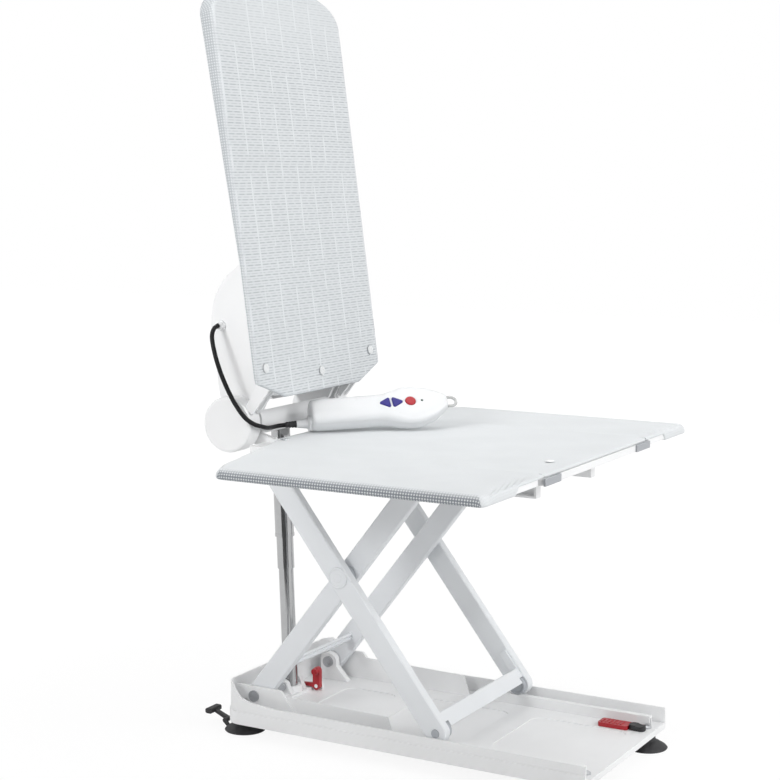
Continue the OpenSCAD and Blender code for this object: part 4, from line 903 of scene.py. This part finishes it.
def shell(name, upper):
    places = sorted({float(x) for x in STATION_XS + tuple(range(-86, 100, 4))})
    points, faces = [], []
    outer, inner = [], []
    for inset, rings in ((0, outer), (SHELL_T, inner)):
        for x in places:
            x_in = min(max(x, -HANDSET_HALF + inset), HANDSET_HALF - TIP_SHORT - inset)
            rings.append(list(range(len(points), len(points) + RING_POINTS)))
            points += [at_handset(x_in, y, z) for y, z in shell_ring(x_in, inset, upper)]
        faces += strips(rings) + [tuple(rings[0]), tuple(reversed(rings[-1]))]
    for k in (0, -1):
        faces += strip([ring[k] for ring in outer], [ring[k] for ring in inner])
    for end in (0, -1):
        faces.append((outer[end][0], outer[end][-1], inner[end][-1], inner[end][0]))
    return add_mesh(name, points, faces, sharp=SHELL_SHARP)


# Buttons and lamp of the handset: places, sizes, and rings as heights and shares of the outline
BUTTONS = (("up", 9.6), ("down", 25.3), ("stop", 47.5))
STOP_R = 8
CORNER_AT = 7.68
CORNER_R = 2.16
BUTTON_GAP = 0.45
LED_X = 65.6
LED_R = 2
CUT_RINGS = ((PART_Z - 1, 1), (FACE_Z + 4, 1))
KEY_RINGS = ((FACE_Z - 5, 1), (FACE_Z + 1.1, 1), (FACE_Z + 1.6, 0.95), (FACE_Z + 1.85, 0.84),
             (FACE_Z + 1.95, 0.6), (FACE_Z + 2, 0.2))
LED_RINGS = ((FACE_Z - 3, 0.96), (FACE_Z, 0.96), (FACE_Z + 0.5, 0.8), (FACE_Z + 0.75, 0.45),
             (FACE_Z + 0.82, 0.1))


def arc(radius, degrees, centre=(0, 0)):
    """Flat points of an arc at the given angles."""
    turns = [math.radians(a) for a in degrees]
    return [(centre[0] + radius * math.cos(t), centre[1] + radius * math.sin(t)) for t in turns]


def button_outline(kind, grow):
    """Outline of a button round its own middle: a round button, or a triangle with soft corners."""
    if kind == "stop":
        return arc(STOP_R + grow, range(0, 360, 9))
    first = 180 if kind == "up" else 0
    outline = []
    for corner in (first, first + 120, first + 240):
        centre = arc(CORNER_AT, [corner])[0]
        outline += arc(CORNER_R + grow, range(corner - 60, corner + 61, 12), centre)
    return outline


def prism(name, outline, x, levels):
    """A stack of rings of one outline: each level is a height and a share of the outline's size."""
    points, rings = [], []
    for z, share in levels:
        rings.append(list(range(len(points), len(points) + len(outline))))
        points += [at_handset(x + u * share, v * share, z) for u, v in outline]
    return add_mesh(name, points, capped(rings), sharp=40)


def cut_holes(piece, cutters):
    """Cuts the cutters out of a piece and removes them."""
    for cutter in cutters:
        cut = piece.modifiers.new("cut", "BOOLEAN")
        cut.operation = "DIFFERENCE"
        cut.solver = "EXACT"
        cut.object = cutter
    bpy.context.view_layer.update()
    shape = bpy.data.meshes.new_from_object(piece.evaluated_get(bpy.context.evaluated_depsgraph_get()))
    piece.modifiers.clear()
    piece.data = shape
    shape.set_sharp_from_angle(angle=math.radians(SHELL_SHARP))
    for cutter in cutters:
        bpy.data.objects.remove(cutter)


upper_shell = shell("handset_upper", True)
lower_shell = shell("handset_lower", False)
led_outline = arc(LED_R, range(0, 360, 15))
cutters = [prism("cut_" + kind, button_outline(kind, BUTTON_GAP), x, CUT_RINGS) for kind, x in BUTTONS]
cutters.append(prism("cut_led", led_outline, LED_X, CUT_RINGS))
cut_holes(upper_shell, cutters)
for piece, name in ((upper_shell, "handset_top"), (lower_shell, "handset_bottom")):
    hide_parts(name)
    finish_piece(piece, "handset_plastic", "seat")
for kind, x in BUTTONS:
    button = prism("key_" + kind, button_outline(kind, 0), x, KEY_RINGS)
    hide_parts("button_" + kind)
    finish_piece(button, "red_plastic" if kind == "stop" else "blue_rubber", "button_" + kind)
led = prism("led", led_outline, LED_X, LED_RINGS)
finish_piece(led, "handset_plastic", "seat", lens)


# Stage: a pale floor, a white world, soft lamps and a dark flag that paints a dark reflection
FLOOR_SIZE = 14
FLOOR_LOW = (0.84, 0.84, 0.84, 1)
FLOOR_HIGH = (0.88, 0.88, 0.88, 1)
# Strength of the white that the camera sees of the floor, and its share near the part and away from it
FLOOR_GLOW = 1.04
GLOW_NEAR = 0.5
GLOW_FAR = 1.3
SHARE_NEAR = 0.86
SHARE_FAR = 1.0
# Strength of the world as light, and what is added where it is seen
WORLD_LIGHT = 0.56
WORLD_SEEN = 0.44


def add_floor():
    bpy.ops.mesh.primitive_plane_add(size=FLOOR_SIZE, location=(0, 0, 0))
    floor = bpy.context.object
    floor.name = "floor"
    material, tree, shader = new_material("floor", Roughness=0.9)
    place = object_place(tree)
    link(tree, mix_colour(tree, noise(tree, place, scale=2.0), FLOOR_LOW, FLOOR_HIGH), shader, "Base Color")
    glow = add(tree, "ShaderNodeEmission", {"Color": (1, 1, 1, 1), "Strength": FLOOR_GLOW})
    away = add(tree, "ShaderNodeVectorMath", {0: place}, operation="LENGTH").outputs["Value"]
    share = times(tree, seen_directly(tree), ramp(tree, away, GLOW_NEAR, GLOW_FAR, SHARE_NEAR, SHARE_FAR))
    both = add(tree, "ShaderNodeMixShader", {0: share, 1: shader.outputs[0], 2: glow.outputs[0]})
    link(tree, both.outputs[0], tree.nodes["Material Output"], "Surface")
    floor.data.materials.append(material)


def add_world():
    world = bpy.data.worlds.new("studio")
    scene.world = world
    world.use_nodes = True
    tree = world.node_tree
    sky = tree.nodes["Background"]
    sky.inputs["Color"].default_value = (1, 1, 1, 1)
    link(tree, plus(tree, times(tree, seen_directly(tree), WORLD_SEEN), WORLD_LIGHT), sky, "Strength")


def add_lamp(name, place, target, size, energy, spread=180):
    data = bpy.data.lights.new(name, "AREA")
    data.shape = "DISK"
    data.size = size
    data.energy = energy
    data.spread = math.radians(spread)
    lamp = bpy.data.objects.new(name, data)
    scene.collection.objects.link(lamp)
    aim = (Vector(target) - Vector(place)).to_track_quat("-Z", "Y")
    lamp.matrix_world = Matrix.Translation(place) @ aim.to_matrix().to_4x4()


# A dark flag beside the part that glossy rays alone see: a painted dark reflection, mostly in the bright
# tubes
def add_flag(name, place, facing, width, height):
    bpy.ops.mesh.primitive_plane_add(size=1, location=place)
    flag = bpy.context.object
    flag.name = name
    flag.scale = (width, height, 1)
    flag.rotation_euler = (math.pi / 2, 0, math.radians(facing) + math.pi / 2)
    flag.data.materials.append(new_material(name, Base_Color=(0.15, 0.15, 0.15, 1), Roughness=0.9)[0])
    for kind in ("camera", "diffuse", "shadow", "transmission"):
        setattr(flag, "visible_" + kind, False)


add_floor()
add_world()
add_lamp("key", place=(-0.1, -3.0, 1.9), target=(0, 0, 0.5), size=1.8, energy=50)
add_lamp("fill", place=(-2.7, 0.9, 1.9), target=(-0.05, 0.3, 0.85), size=1.2, energy=3.0, spread=40)
add_lamp("top", place=(0.3, 0.2, 3.0), target=(0, 0, 0.4), size=2.0, energy=14)
add_flag("flag", place=(-0.64, -0.2, 0.36), facing=32, width=1.1, height=0.7)
scene.view_settings.view_transform = "Standard"

bpy.context.view_layer.update()
